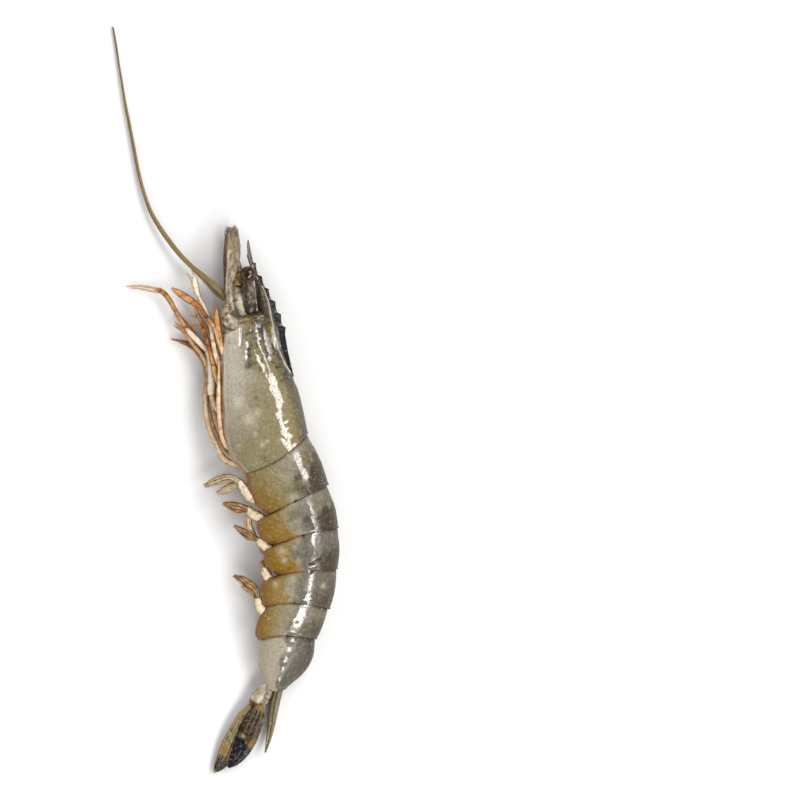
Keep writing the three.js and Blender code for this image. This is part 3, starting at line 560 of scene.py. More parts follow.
snout_ridge = near(rows, SNOUT_RIDGE, 0.28)
folds = sum(near(rows, fold, 1.25) for fold in FOLDS)
valleys = sum(near(rows, valley, 1.1) for valley in VALLEYS)
gutter, groove = near(rows, GUTTER, 0.75), near(rows, FINE_GROOVE, 0.28)
brown_front = fade(rows[..., 0] + bumps(rows, 3, 18), 7.2, 8.8) * fade(
    rows[..., 1] + 0.5 * (rows[..., 0] - 14), 7, 17)
crumple = (bumps(rows, 3.2, 14) + 0.45 * bumps(rows, 1.3, 17)) * brown_front
front_edge = bell(share * rail(CARAPACE["back"]).length, 1.0) * fade(depth, 0.05, -0.25) * on_flank
to_hind_edge = (1 - share) * FLANK_LENGTH
hind_edge = bell(to_hind_edge, 0.55) * on_flank
rows = raised(rows, on_flank * (
    0.32 * snout_ridge + 0.42 * np.minimum(folds, 1.2) - 0.30 * valleys - 0.9 * gutter - 0.22 * groove
    + 0.26 * crumple + 0.25 * front_edge + 0.16 * hind_edge + 0.25 * low_edge
    + 0.16 * bumps(rows, 8, 1) + 0.07 * bumps(rows, 2.8, 2)))
shoulder = near(rows, [[12.6, 33.4], [15.6, 30.6]], 2.0)  # dark brown, beside the stalk
pale_spots = sum(near(rows, [place], radius) ** 0.6 for place, radius in PALE_SPOTS)
carapace = Casting("carapace_shell").skin(
    rows, shell,
    warm=fade(depth, -1.0, 0.8) * 0.45 + 0.65 * share + 0.5 * brown_front,
    smoke=0.12 * fade(rows[..., 1], 5, 30) * fade(depth, 0.35, -0.6),
    gold=0.35 * fade(depth, 0.1, 0.6) * fade(share, 0.55, 0.1) + 0.30 * fade(depth, -0.8, 0.0) * share**2
    + 0.3 * shoulder,
    # painted shade: the sunk valleys, gutter and fine groove are also coloured darker, as are the patches
    # below and between the folds
    crest=held(
        fade(depth, 0.46, 1.0) * 0.72 + 0.3 * fade(depth, 0.0, 0.7) * fade(share, 0.4, 0.1)
        + brown_front * (0.12 + 0.45 * fade(bumps(rows, 1.5, 16), 0.0, 0.4)) + 0.6 * shoulder
        + 0.55 * spots(rows, DARK_PATCHES_AND_FOLD_SHADE) + 0.45 * valleys + 0.6 * gutter + 0.35 * groove
        + 0.2 * bell(to_hind_edge - 1.0, 0.5)),
    ink=before_ridge(rows) * fade(rows[..., 1], 9.5, 16) * 0.95,
    # the pale line along the ridge beside the snout is a painted highlight
    pale=held(0.6 * pale_spots + snout_ridge + 0.3 * front_edge * (1 - shoulder)
              + 0.7 * fade(depth, 0.1, -0.7) * fade(share, 0.75, 0.15) * (1 - brown_front)),
    rim=held(0.7 * edge_band * fade(1 - np.abs(2 * share - 1), 0.0, 0.02) + 0.3 * hind_edge
             + 0.3 * front_edge),
    dry=np.clip(0.85 * fade(depth, 0.5, 0.72) + 0.9 * shoulder, 0, 0.95))
print("points of the carapace:", rows.shape[0] * rows.shape[1])

# %% [markdown]
# ### The snout blade and the core of the head
#
# The toothed blade over the head is a flat spar, thick at its side ridge and sharp on both edges. Its
# teeth lean forward: each rises gently from behind and drops steeply in front. The core of the head
# fills the carapace's open front with dark, wrinkled skin, from which the stalks and feelers grow.

# %% The toothed blade
BLADE = {
    "top": [[28.2, 8.8], [25.7, 19.4], [24, 28.4], [20.4, 38], [16.6, 45.4], [12, 54.6], [9.3, 66.4]],
    "keel": [[22, 10], [17.5, 22], [13.4, 36], [12.3, 44.7], [11.5, 51], [9.3, 57], [8.7, 64.4]],
    "half_thickness": [3, 2.9, 2.4, 1.8, 1.3, 0.8, 0.3],
    "ridge": 0.42,
}
TEETH = [11 / 32, 14 / 32, 17 / 32, 20 / 32, 23 / 32, 26 / 32]
KEEL_TEETH = [26 / 32, 29 / 32]
TOOTH_LEAN = 0.45  # how far a tooth leans forward, as a share of its height
BLADE_ROWS, BLADE_AROUND = 240, 40
HEAD_HEIGHT = seam_height(0) - CARAPACE["nose_tilt"]  # of the mid-plane of the head


def saw(share, teeth, rise, drop, height):
    """Teeth along an edge: each rises over one share of its length and drops over a shorter one."""
    tooth = [held(np.where(share < at, 1 - (at - share) / rise, 1 - (share - at) / drop)) for at in teeth]
    return height * np.max(tooth, axis=0) ** 1.3


blade_share = np.linspace(0.0, 1.0, BLADE_ROWS)
high, low = rail(BLADE["top"])(blade_share), rail(BLADE["keel"])(blade_share)
across = unit(high - low)
tooth_height = saw(blade_share, TEETH, 0.05, 0.018, 1.0)[:, None]
high = high + across * tooth_height + turned(across) * tooth_height * TOOTH_LEAN
low = low - across * saw(blade_share, KEEL_TEETH, 0.04, 0.014, 0.5)[:, None]
level, flat = np.cos(full_circle(BLADE_AROUND)), np.sin(full_circle(BLADE_AROUND))
taper = np.where(level > 0, 1 - 0.72 * level, 1 - 0.9 * level**2)
ends = np.minimum(fade(blade_share, 0, 0.01), fade(blade_share, 1, 0.985))[:, None]
middle = low + BLADE["ridge"] * (high - low)
rise = np.where(level > 0, 1 - BLADE["ridge"], BLADE["ridge"])[None] * np.linalg.norm(
    high - low, axis=1)[:, None]
thick = eased(BLADE["half_thickness"], blade_share)[:, None]
rows = np.concatenate([
    middle[:, None] + across[:, None] * (level * rise * ends)[..., None],
    (HEAD_HEIGHT + flat * np.maximum(taper, 0.12) * thick * ends)[..., None]], -1)
rows = raised(rows, 0.22 * bell(level, 0.16) * thick / 3 + 0.05 * bumps(rows, 1.6, 3))
tip = fade(blade_share, 0.72, 0.95)[:, None]
notches = 0.6 * sum(bell(blade_share - at - 0.026, 0.010) for at in TEETH)[:, None] * fade(level, 0.72, 0.9)
carapace.skin(
    rows, blade_finish, warm=0.8, smoke=0.6 * tip, gold=0.55 * fade(level, 0.3, -0.6) * (1 - tip),
    crest=0.45 * fade(level, 0.0, 0.5) + 0.3 * fade(level, -0.2, -0.9)
    + 0.4 * fade(level, 0.2, 0.0) * (1 - tip),
    ink=fade(level, 0.10, 0.32) * (1 - 0.55 * tip) * (1 - notches),
    # a painted highlight: the pale line along the blade's side ridge
    pale=held(0.55 * bell(level, 0.05) * (1 - tip) + 0.7 * notches + 0.15 * tip),
    rim=0.35 * notches, dry=0.9 * fade(level, 0.1, 0.32))
print("teeth:", len(TEETH), "above and", len(KEEL_TEETH), "below")

# %% The brow, where the carapace narrows and rises into the blade
BROW = [[20.8, 17, 2.6, 6.2], [19.5, 24, 3.4, 8.5], [17.8, 31, 3.3, 7.4], [16.2, 37.5, 2.7, 4.8],
    [14.6, 43.5, 1.8, 2.6], [13.2, 49, 0.9, 1.3]]
rows, run, _, flat = limb_rows([[x, y, HEAD_HEIGHT, *size] for x, y, *size in BROW], 0.25, 72)
ridge, dents = near(rows, SNOUT_RIDGE, 0.24), bumps(rows, 2.2, 8)
lines = np.sin(flat * 11 + 5 * bumps(rows, 5, 15))  # fine lines along it
rows = raised(rows, 0.25 * ridge + 0.3 * bumps(rows, 3.5, 9) + 0.14 * dents + 0.05 * lines)
rise = fade(run, 5, 15)
carapace.skin(
    rows, shell, warm=0.5 + 0.4 * rise, gold=0.2 + (0.35 + 0.35 * dents) * rise, dry=0.85 * rise,
    # pale=ridge is a painted highlight along the ridge beside the snout
    ink=before_ridge(rows) * 0.95, pale=ridge,
    crest=held(0.12 + rise * (
        0.26 + 0.6 * near(rows, [[12.2, 38.5], [13.4, 33.5]], 1.6) + 0.5 * fade(run, 13, 20)
        + 0.16 * lines + 0.35 * fade(-dents, 0.0, 0.4))))

# %% The core of the head
CORE_ROWS = 60
swell = np.linspace(0.02, math.pi / 2, CORE_ROWS)
rows = body_rings(
    *(np.tile(rail(CARAPACE[line])(0.0), (CORE_ROWS, 1)) for line in ("back", "belly")),
    CARAPACE["half_widths"][0], HEAD_HEIGHT, 0.0,
    0.99 * np.sin(swell), CARAPACE["dome"] * np.cos(swell) - 0.1)
rows = raised(rows, (0.36 * bumps(rows, 2.2, 4) + 0.20 * bumps(rows, 0.9, 5)) * np.cos(swell)[:, None])
socket = near(rows, [[9.0, 36.6], [12.8, 35.0]], 1.5)
ledge = near(rows, [[8.6, 35.0], [11.5, 35.6], [14.2, 36.4]], 0.5)
upper, wrinkles = fade(depth, -0.25, 0.1), bumps(rows, 1.7, 7)
beside_brow = fade(rows[..., 0], 10.5, 12)
carapace.skin(
    rows, shell, warm=0.35 + 0.4 * upper, smoke=0.1, gold=0.55 * upper + 0.3 * bumps(rows, 2.2, 6),
    crest=0.22 * upper + 0.5 * wrinkles + 0.6 * socket + 0.35 * beside_brow,
    pale=held(0.7 * ledge * (1 - beside_brow) + 0.5 * fade(depth, 0.0, -0.6)
              + 0.5 * fade(-wrinkles, 0.15, 0.4)),
    rim=held(0.9 * fade(bumps(rows, 2.0, 13), 0.1, 0.4) * (1 - 0.7 * upper)), dry=0.8 * beside_brow)
dressed(carapace, "carapace")

# %% [markdown]
# ### The six segments
#
# Each segment is a hoop with a rounded lobe on either side. Its front is tucked under the hoop before
# it, so the fronts here are carried a little further forward than in the solids, where they stop at a
# gap. Tiger prawns carry a dark band over the back of each hoop, and golden brown in the hind part of
# each lobe. Where two hoops meet half way down the flank they hinge on a small dark pit.

# %% The segments' outlines and colours
SEGMENTS = [
    {"back": [[34, -14.1], [38.7, -24.5], [42, -34.7]], "belly": [[7.9, -30.6], [9.4, -36.6],
        [12.6, -42.9], [17.6, -46.9]], "gold": 0.35, "band": 0.9, "smoke": 0.45, "pale": 0},
    {"back": [[42.1, -35.2], [45, -44], [46.5, -52.6]], "belly": [[17.7, -47.3], [13, -50.2],
        [13.4, -54.3], [16.2, -57.8], [20.3, -59.5]],
        "gold": 0.85, "band": 0.95, "smoke": 0.6, "pale": 0.05},
    {"back": [[46.6, -53.1], [46.9, -61.5], [46.1, -69.4]], "belly": [[20.3, -59.9], [15.8, -62.4],
        [16, -66.3], [18.3, -70], [21.6, -71.7]], "gold": 0.95, "band": 0.6, "smoke": 1.05, "pale": 0},
    {"back": [[46, -69.9], [45.1, -78], [42.7, -86]], "belly": [[21.4, -72.1], [15.8, -74.6],
        [14.7, -78.4], [15.1, -82], [16.9, -84.6]], "gold": 0.9, "band": 0.35, "smoke": 0.85, "pale": 0.12},
    {"back": [[42.5, -86.5], [40.1, -92.5], [37.3, -98.4]], "belly": [[16.3, -85.1], [13.9, -89],
        [12.8, -93.2], [12.4, -96.6], [13.5, -98.5]], "gold": 0.5, "band": 0.35, "smoke": 0.6, "pale": 0.1},
    {"back": [[37.2, -98.9], [35.9, -106.4], [32, -112.4], [24.6, -118.9]], "belly": [[14.2, -99.1],
        [13.6, -106], [14.2, -112], [15.6, -117.4]], "gold": 0, "band": 0, "smoke": 1.1, "pale": 0.05},
]
HINGES = [[28.9, -41.4], [31.8, -55.6], [35, -70.4], [28.2, -83], [25, -96.8]]
SLIT = [[34.4, -67.4], [36.6, -66.4], [39.2, -65.3]]
SEGMENT_SPOTS = [([23.4, -62], 1.9), ([24.2, -65.8], 1.3), ([17.8, -89.8], 0.4), ([25.9, -89.6], 0.4),
    ([25.6, -22.8], 0.5), ([20.5, -75.4], 1.2), ([40.2, -76.2], 1.1)]
WET_PATCHES = [  # where the film of water is whole enough to mirror the lights, each with its radius
    ([[24.6, -27.7], [27.3, -30.5]], 1.1), ([[29.3, -22.8], [33, -31.4]], 1.1), ([[32.8, -44.6],
    [34.5, -50.4], [35.4, -53.4]], 2), ([[36.2, -56], [35.8, -62.5]], 0.5), ([[36.9, -66], [34.4, -69.6]],
    0.8), ([[35.6, -71], [34.6, -77.5]], 0.5), ([[33.8, -80], [33, -83.4]], 1.15), ([[31.4, -86.8],
    [29.3, -91.5]], 1.5), ([[27.6, -95.6]], 0.9)]
DASHES = [[27.8, -98.6], [25.9, -103], [23.6, -109], [22, -114], [20.2, -118.5]]
SEGMENT_ROWS = 62


# %% One segment's skin and masks
def segment_rings(number):
    """Rings from the tucked front to the hind edge, and the share of the way at each."""
    here = SEGMENTS[number - 1]
    lead, lip = 9, 4
    share = np.r_[np.zeros(lead), np.linspace(0, 1, SEGMENT_ROWS), np.ones(lip)]
    ahead = np.r_[np.linspace(2.4, 0.2, lead), np.zeros(SEGMENT_ROWS), np.linspace(0.03, 0.5, lip)]
    shrink = 0.045 * (1 - share) ** 2.5
    shrink[:lead] += np.linspace(0.05, 0.006, lead)
    shrink[-lip:] += np.linspace(0.012, 0.30, lip)
    pair = [number - 1, number]
    rows = body_rings(
        rail(here["back"])(share), rail(here["belly"])(share),
        np.interp(share, [0, 1], [SEAM_HALF_WIDTHS[k] for k in pair]),
        np.interp(share, [0, 1], [seam_height(k) for k in pair]),
        np.interp(share, [0, 1], [SEAM_BOWS[k] for k in pair]), 1 - shrink, ahead)
    return rows, share[:, None]


def segment(number):
    here = SEGMENTS[number - 1]
    rows, share = segment_rings(number)
    length = np.linalg.norm(np.subtract(here["back"][0], here["back"][-1]))
    hind, hollow = (bell((1 - share) * length - at, width) * on_flank for at, width in ((0, 0.5), (1.3, 0.6)))
    hinge = spots(rows, [(place, 0.75) for place in HINGES])
    lift = 0.14 * hind - 0.10 * hollow + 0.2 * low_edge - 0.35 * hinge
    slit = 0.0
    if number == 1:  # a step across the upper flank, and fine lines below the midline of the back
        lift = lift + 0.22 * fade(share * length, 4.6, 5.4) * fade(depth, 0.25, 0.45)
        lift = lift + 0.035 * np.sin(depth * 150) * fade(depth, 0.5, 0.62) * fade(depth, 0.95, 0.8)
    if number == 3:  # a crack in the left flank
        slit = near(rows, SLIT, 0.35) * (side > 0)
    rows = raised(rows, on_flank * (
        lift - 0.55 * slit + 0.15 * bumps(rows, 6, 10 + number) + 0.07 * bumps(rows, 2.2, 20 + number)))
    lobe = fade(depth, 0.0, -0.75)
    drift = 0.28 * bumps(rows, 4, 40 + number)
    slant = share + 0.3 * depth + drift
    upper = fade(depth + drift, -0.5, 0.15)
    crest = (here["band"] * fade(depth + drift, -0.1, 0.5) * fade(slant, 0.5, 0.95) + 0.13 * upper
             + 0.35 * fade(depth, 0.6, 1.0) + 0.5 * held(hinge)
             + 0.5 * bell(share * length, 0.8))  # the shade just behind the hoop in front
    if number < 6:
        own = {"warm": 0.5 + 0.45 * lobe + 0.3 * bumps(rows, 5, 30 + number), "smoke": here["smoke"] * upper,
               "gold": 0.25 * lobe + 1.15 * here["gold"] * fade(depth + drift, -0.12, -0.6) * fade(
                   share + drift, -0.1, 0.75),
               "crest": crest,
               "dry": 0.9 - 0.9 * held(2 * sum(near(rows, line, radius) for line, radius in WET_PATCHES))}
    else:  # the last one is plain and grey, and wet along a row of dashes
        dashes = near(rows, DASHES, 0.75) * fade(np.sin(rows[..., 1] * 1.5 + 1.2), 0.3, -0.3)
        # the upper half is painted darker: grey-blue colour, and painted shade of the side turned away from
        # the light
        own = {"warm": 0.1 + 0.2 * share, "smoke": here["smoke"] * fade(depth + 0.9 * drift, -0.32, 0.22),
               "crest": crest + 0.24 * fade(depth + 0.9 * drift, -0.2, 0.3), "dry": 0.9 - 0.9 * dashes}
    return Casting(f"segment_{number}_shell").skin(
        rows, shell, **own,
        ink=here["band"] * 0.35 * fade(depth + drift, 0.4, 1.0) * fade(slant, 0.85, 1.25),
        pale=held(here["pale"] * fade(depth, -0.95, -0.5) * fade(depth, 0.1, -0.15)
                  + spots(rows, SEGMENT_SPOTS, 0.5)),
        rim=held(edge_band * (1 if number < 6 else 0.3) + 0.6 * hind * fade(depth, 0.1, -0.5) + 0.28 * hind),
        crack=held(slit * 1.3) + 0.7 * held(spots(rows, [(place, 0.35) for place in HINGES])))


for number in range(1, 7):
    dressed(segment(number), f"segment_{number}")

# %% [markdown]
# ## Limbs and blades
#
# A limb is a tube along a few joints, each with a half width and, where it is flat, a half thickness.
# At a knee the thin skin between two hard tubes folds in, and the tubes swell on either side. Limbs
# have masks of their own: `tone` runs from cream through orange to dark brown, `edge` follows the
# edges and `fold` the knees. `grey` lays smoky pigment over them, and painted shade along one side of
# the legs and jaw feet, and `ink` lays black pigment.

# %% Tones along a limb
def tones_along(joints, tones, run):
    """The tone at each ring, from one tone for each joint."""
    line = limb_line(joints)
    return np.interp(run, line.stops * line.length, tones)


# %% The finish of legs, stalks and feelers
def five_tones(*tones):
    """A ramp from the palest tone to the darkest."""
    return list(zip((0.0, 0.3, 0.58, 0.82, 1.0), (tint(*tone) for tone in tones)))


LEG_TONES = five_tones((238, 229, 213), (216, 190, 152), (204, 150, 88), (164, 98, 44), (86, 54, 30))
HEAD_TONES = five_tones((204, 195, 176), (164, 150, 126), (146, 114, 72), (110, 70, 34), (56, 38, 24))
FEELER_TONES = five_tones((176, 152, 100), (152, 126, 74), (124, 98, 52), (92, 66, 32), (60, 42, 22))
SWIMMING_TONES = five_tones((224, 209, 182), (208, 184, 142), (150, 124, 78), (128, 78, 34), (72, 46, 26))


def limb_finish(name, tones, edging=0.3, shade=0.0):
    made = Finish(name, Coat_Roughness=0.08, Coat_IOR=1.38, Specular_IOR_Level=0.3, Subsurface_Weight=0.1,
                  Subsurface_Radius=(1.0, 0.6, 0.35), Subsurface_Scale=0.001)
    patches, grain = made.speckle(1.3, 4, 0.65), made.speckle(0.45, 3, 0.55)
    rims = made.fade(made.mask("edge") + (patches - 0.5) * 0.6, 0.3, 0.9)
    tone = made.mask("tone") + (patches - 0.5) * 0.75 + rims * edging + made.mask("fold") * 0.35
    colour = made.ramp(tone, tones)
    # grey is smoky pigment, and on the legs and jaw feet painted shade along one side
    colour = made.blend(made.mask("grey") * 0.8, colour, SMOKE)
    colour = made.blend(made.mask("ink") * 0.85, colour, INK)
    colour = made.blend(made.fade(grain, 0.6, 0.78) * (0.3 + shade), colour, DARK_BROWN)
    waves = made.relief(patches, 0.14)
    made.ends(Base_Color=colour, Roughness=patches * 0.2 + 0.2, Coat_Weight=patches * 0.4 + 0.3,
              Normal=made.relief(grain, 0.04, waves))
    return made


leg_finish = limb_finish("leg_skin", LEG_TONES, 0.6, 0.1)
head_limb_finish = limb_finish("head_limb_skin", HEAD_TONES, 0.45, 0.15)
feeler_finish = limb_finish("feeler_skin", FEELER_TONES, 0.1, 0.2)
swimmeret_finish = limb_finish("swimmeret_skin", SWIMMING_TONES, 0.55, 0.1)
tail_finish = shell_finish("tail_blade", 0.0, 0.07, tint(48, 30, 13))
tail_joint_finish = limb_finish("tail_joint_skin", HEAD_TONES, 0.35)

# %% [markdown]
# ## Bristles
#
# Legs and blades are edged with bristles. While the pieces are made, the lines that carry bristles are
# noted down, each place with the direction in which its bristle is combed. At the end a Geometry Nodes
# tree walks along those lines at an even spacing and plants a thin cone at each step.

# %% Noting the edges that carry bristles
HAIRY_LINES = {"leg": [], "head_limb": [], "swimmeret": [], "tail_fan": []}


def hairy(slot, rows, first=0.3, turns=(0.0, 0.5)):
    """Notes lines along a limb at shares of the way round it: 0 and 0.5 are its two edges."""
    centre = rows.mean(axis=1)
    along = unit(np.gradient(centre, axis=0))
    way = np.linspace(0, 1, len(rows))[:, None]
    kept = slice(int(first * len(rows)), -3)
    for turn in turns:
        line = rows[:, int(turn * rows.shape[1])]
        comb = unit(line - centre) * (1 - 0.6 * way) + along * (0.7 + way)
        HAIRY_LINES[slot].append((line[kept], comb[kept]))


# %% The tree that plants them
def bristle_tree():
    """Takes lines of edges with the attribute `comb`, and gives cones that point along it."""
    tree = bpy.data.node_groups.new("bristle_rows", "GeometryNodeTree")
    kinds = {"Geometry": "NodeSocketGeometry", "Spacing": "NodeSocketFloat", "Length": "NodeSocketFloat",
             "Thickness": "NodeSocketFloat", "Unruly": "NodeSocketFloat", "Finish": "NodeSocketMaterial"}
    for label, kind in kinds.items():
        tree.interface.new_socket(label, in_out="INPUT", socket_type=kind)
    tree.interface.new_socket("Geometry", in_out="OUTPUT", socket_type="NodeSocketGeometry")
    made = Nodes(tree)
    given = made.node("NodeGroupInput").outputs
    given = {label: Wire(made, given[label]) for label in kinds}

    def first(*details):
        return Wire(made, made.node(*details).outputs[0])

    line = first("GeometryNodeMeshToCurve", None, {"Mesh": given["Geometry"]})
    roots = first("GeometryNodeResampleCurve", {"mode": "LENGTH"}, {
        "Curve": line, "Length": given["Spacing"]})
    cone = first("GeometryNodeMeshCone", None, {
        "Vertices": 4, "Radius Top": 0.0, "Radius Bottom": given["Thickness"], "Depth": given["Length"]})
    comb = first("GeometryNodeInputNamedAttribute", {"data_type": "FLOAT_VECTOR"}, {"Name": "comb"})
    stray = first("FunctionNodeRandomValue", {"data_type": "FLOAT_VECTOR"}, {
        "Min": (-1.0, -1.0, -0.2), "Max": (1.0, 1.0, 1.0), "Seed": 5})
    aim = first("ShaderNodeVectorMath", {"operation": "MULTIPLY_ADD"}, {
        0: stray, 1: given["Unruly"], 2: comb})
    turn = first("FunctionNodeAlignRotationToVector", {"axis": "Z"}, {"Vector": aim})
    size = made.node("FunctionNodeRandomValue", {"data_type": "FLOAT"}, {2: 0.5, 3: 1.0, "Seed": 9})
    planted = first("GeometryNodeInstanceOnPoints", None, {
        "Points": roots, "Instance": cone, "Rotation": turn, "Scale": Wire(made, size.outputs[1])})
    real = first("GeometryNodeRealizeInstances", None, {"Geometry": planted})
    finished = first("GeometryNodeSetMaterial", None, {"Geometry": real, "Material": given["Finish"]})
    made.node("NodeGroupOutput", None, {"Geometry": finished})
    return tree


def plant(tree, slot, finish, **knobs):
    """Grows the bristles of one slot, and keeps the result as a plain mesh."""
    lines = HAIRY_LINES[slot]
    starts = np.cumsum([0] + [len(line) for line, _ in lines])
    edges = [(start + i, start + i + 1)
             for start, (line, _) in zip(starts, lines) for i in range(len(line) - 1)]
    mesh = bpy.data.meshes.new(f"{slot}_bristles")
    mesh.from_pydata((np.vstack([line for line, _ in lines]) * MM).tolist(), edges, [])
    combs = np.vstack([comb for _, comb in lines])
    mesh.attributes.new("comb", "FLOAT_VECTOR", "POINT").data.foreach_set("vector", combs.ravel())
    piece = shown(f"{slot}_bristles", mesh)
    grown = piece.modifiers.new("bristles", "NODES")
    grown.node_group = tree
    sockets = {item.name: item.identifier for item in tree.interface.items_tree if item.in_out == "INPUT"}
    for label, value in {**knobs, "Finish": finish.material}.items():
        grown[sockets[label]] = value
    now = piece.evaluated_get(bpy.context.evaluated_depsgraph_get())
    piece.data = bpy.data.meshes.new_from_object(now)
    piece.modifiers.clear()
    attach(piece, "root")
    return piece


# %% [markdown]
# ## The head
#
# The stalked eyes stand out on either side of the snout. Each is a dark ball of thousands of facets
# on a glassy stalk. Beside them grow the short twin feelers, the leaf-like scales and the thick bases
# of the long feelers. The head is the same on both sides, so each piece is made once for each side.

# %% The eyes
EYE = {"radius": 3.3, "place": [9.5, 51.2], "out": 7.4, "stalk": [10.2, 36.2], "stalk_out": 3.4}
SIDES = [("left", 1), ("right", -1)]

eye_ball = Finish("eye_ball", Coat_Roughness=0.03, Coat_IOR=1.6, Specular_IOR_Level=0.15)
facets = eye_ball.node("ShaderNodeTexVoronoi", inputs={"Vector": eye_ball.place, "Scale": 6500.0})
facet = Wire(eye_ball, facets.outputs["Distance"])
gleam = eye_ball.speckle(1.4, 3, 0.6)
brown = eye_ball.blend(eye_ball.fade(gleam, 0.4, 0.75), tint(28, 19, 10), tint(98, 68, 30))
brown = eye_ball.blend(eye_ball.mask("rim") * 0.5, brown, tint(124, 90, 48))
eye_ball.ends(Base_Color=brown, Roughness=gleam * 0.15 + 0.3, Normal=eye_ball.relief(facet, 0.02),
              Coat_Weight=eye_ball.mask("top") * eye_ball.fade(gleam, 0.42, 0.50))


def eye(label, side):
    x, y, level, radius = *EYE["place"], HEAD_HEIGHT + side * EYE["out"], EYE["radius"]
    turn, spin = np.linspace(0.04, math.pi - 0.04, 60)[:, None], full_circle(60)
    ball = np.stack(np.broadcast_arrays(
        x + radius * np.sin(turn) * np.cos(spin), y - radius * np.cos(turn),
        level + radius * np.sin(turn) * np.sin(spin)), -1)
    low = bell(turn - 0.55, 0.22)  # a shallow ring where the ball leaves its stalk
    ball = raised(ball, -0.12 * low)
    top = fade(side * (ball[..., 2] - level) / radius, 0.45, 0.75) * (1 - near(ball, [[10.8, 51.3]], 0.55))
    stalk_x, stalk_y = EYE["stalk"]

    def at(share):
        return HEAD_HEIGHT + side * (EYE["stalk_out"] + share * (EYE["out"] - EYE["stalk_out"]))

    joints = [[stalk_x, stalk_y, at(0), 2.4, 1.5],
              [stalk_x - 0.2, stalk_y + 0.35 * (y - stalk_y), at(0.35), 2.7, 1.9],
              [stalk_x - 0.6, stalk_y + 0.65 * (y - stalk_y), at(0.75), 2.5, 2.0],
              [x, y - 2.6, at(0.95), 2.2, 1.9]]
    stalk, run, fold, flat = limb_rows(joints, 0.3, 40)
    waist = bell(run - 4.5, 1.2) + bell(run - 12.0, 1.0)
    stalk = raised(stalk, 0.40 * bumps(stalk * [1.4, 0.5, 1], 1.2, 50) - 0.45 * waist)
    streaks = bumps(stalk * [1.8, 0.45, 1], 1.1, 51)
    oval = bell(run - 9.0, 3.0) * bell(flat - 0.62, 0.22)
    return Casting(f"eye_{label}_ball_and_stalk").skin(ball, eye_ball, rim=low * 0.9, top=top).skin(
        stalk, head_limb_finish, tone=0.45 - 0.9 * streaks + 0.4 * fade(run, 5, 2) - 0.4 * oval,
        edge=held(4 * oval * (1 - oval)), grey=held(0.7 + 0.4 * streaks), fold=fold,
        ink=held(0.65 * fade(np.abs(flat), 1.0, 0.75) + 0.6 * fade(streaks, -0.1, 0.2) - oval
                 - 0.3 * bell(run - 4.5, 2.0)))


for label, side in SIDES:
    dressed(eye(label, side), f"eye_{label}")
print("eyes on stalks, each", 2 * EYE["radius"], "mm across")

# %% The antennal scales, twin feelers and feeler bases
SCALE_JOINTS = [[2.6, 36.6, 5.8, 1.5, 0.7], [1.5, 41.5, 6.2, 1.8, 0.7], [1.3, 48, 6.4, 1.9, 0.55],
    [2.2, 54, 6.3, 2.9, 0.45], [2.7, 60, 6.2, 3.3, 0.4], [2.8, 65, 6, 3, 0.35], [2.5, 68.6, 5.8, 2.2, 0.3],
    [2.3, 70.2, 5.7, 1.2, 0.25]]
STEM_JOINTS = [[7.6, 35, 2.4, 1.9, 1.5], [5.6, 41, 2.6, 2.2, 1.6], [5.2, 46.5, 2.8, 2.3, 1.6],
    [5.2, 52, 2.8, 2.1, 1.4], [4.6, 57, 2.7, 1.3, 1]]
BASE_JOINTS = [[6, 30, 4.2, 2, 1.8], [3.6, 30.4, 6, 2.9, 2.4], [1.5, 32.2, 6.4, 2.9, 2.5],
    [0.5, 35, 6.2, 2.2, 2], [0.4, 37.8, 5.8, 1.7, 1.6], [0.5, 40.4, 5.4, 1.2, 1.1]]
BASE_ARC = [[-1.1, 33.1], [1.1, 35.3], [4.8, 34.2]]  # a golden fold over the knob, and its hind rim
BASE_RIM = [[-1, 30.6], [1.4, 28.9], [5, 28.3]]


def placed(joints, side):
    """Joints whose height was given as a distance out from the mid-plane of the head."""
    return [[x, y, HEAD_HEIGHT + side * out, *size] for x, y, out, *size in joints]


def antennal_scale(label, side):
    rows, run, fold, flat = limb_rows(placed(SCALE_JOINTS, side), 0.35, 44, edge=1.3)
    rib, line, pale_line, vein = (bell(flat - at, width) for at, width in (
        (-0.84, 0.24), (-0.62, 0.06), (-0.42, 0.10), (0.15, 0.05)))
    specks = fade(bumps(rows * [1, 0.7, 1], 0.9, 63), 0.18, 0.45)
    rows = raised(rows, 0.20 * rib + 0.12 * vein - 0.08 * line + 0.12 * bumps(rows, 1.6, 60) - 0.06 * specks)
    right = fade(flat, 0.72, 0.98) * fade(run, 14, 22)
    hairy("head_limb", rows, 0.88, (0.0, 0.08, 0.2, 0.3, 0.42, 0.5))
    return Casting(f"scale_{label}_blade").skin(
        rows, head_limb_finish, edge=0.35 * fade(np.abs(flat), 0.8, 1.0), fold=fold,
        tone=0.34 + 0.5 * rib - 0.4 * pale_line + 0.45 * line * fade(run, 8, 14) * fade(run, 26, 20)
        + 0.38 * bumps(rows * [1.5, 0.6, 1], 1.3, 61) + 0.15 * fade(run, 24, 34),
        grey=held(0.42 + 0.6 * bumps(rows * [1, 0.5, 1], 2, 62)),
        ink=held(0.04 + 0.6 * right + 0.36 * rib + 0.5 * specks))


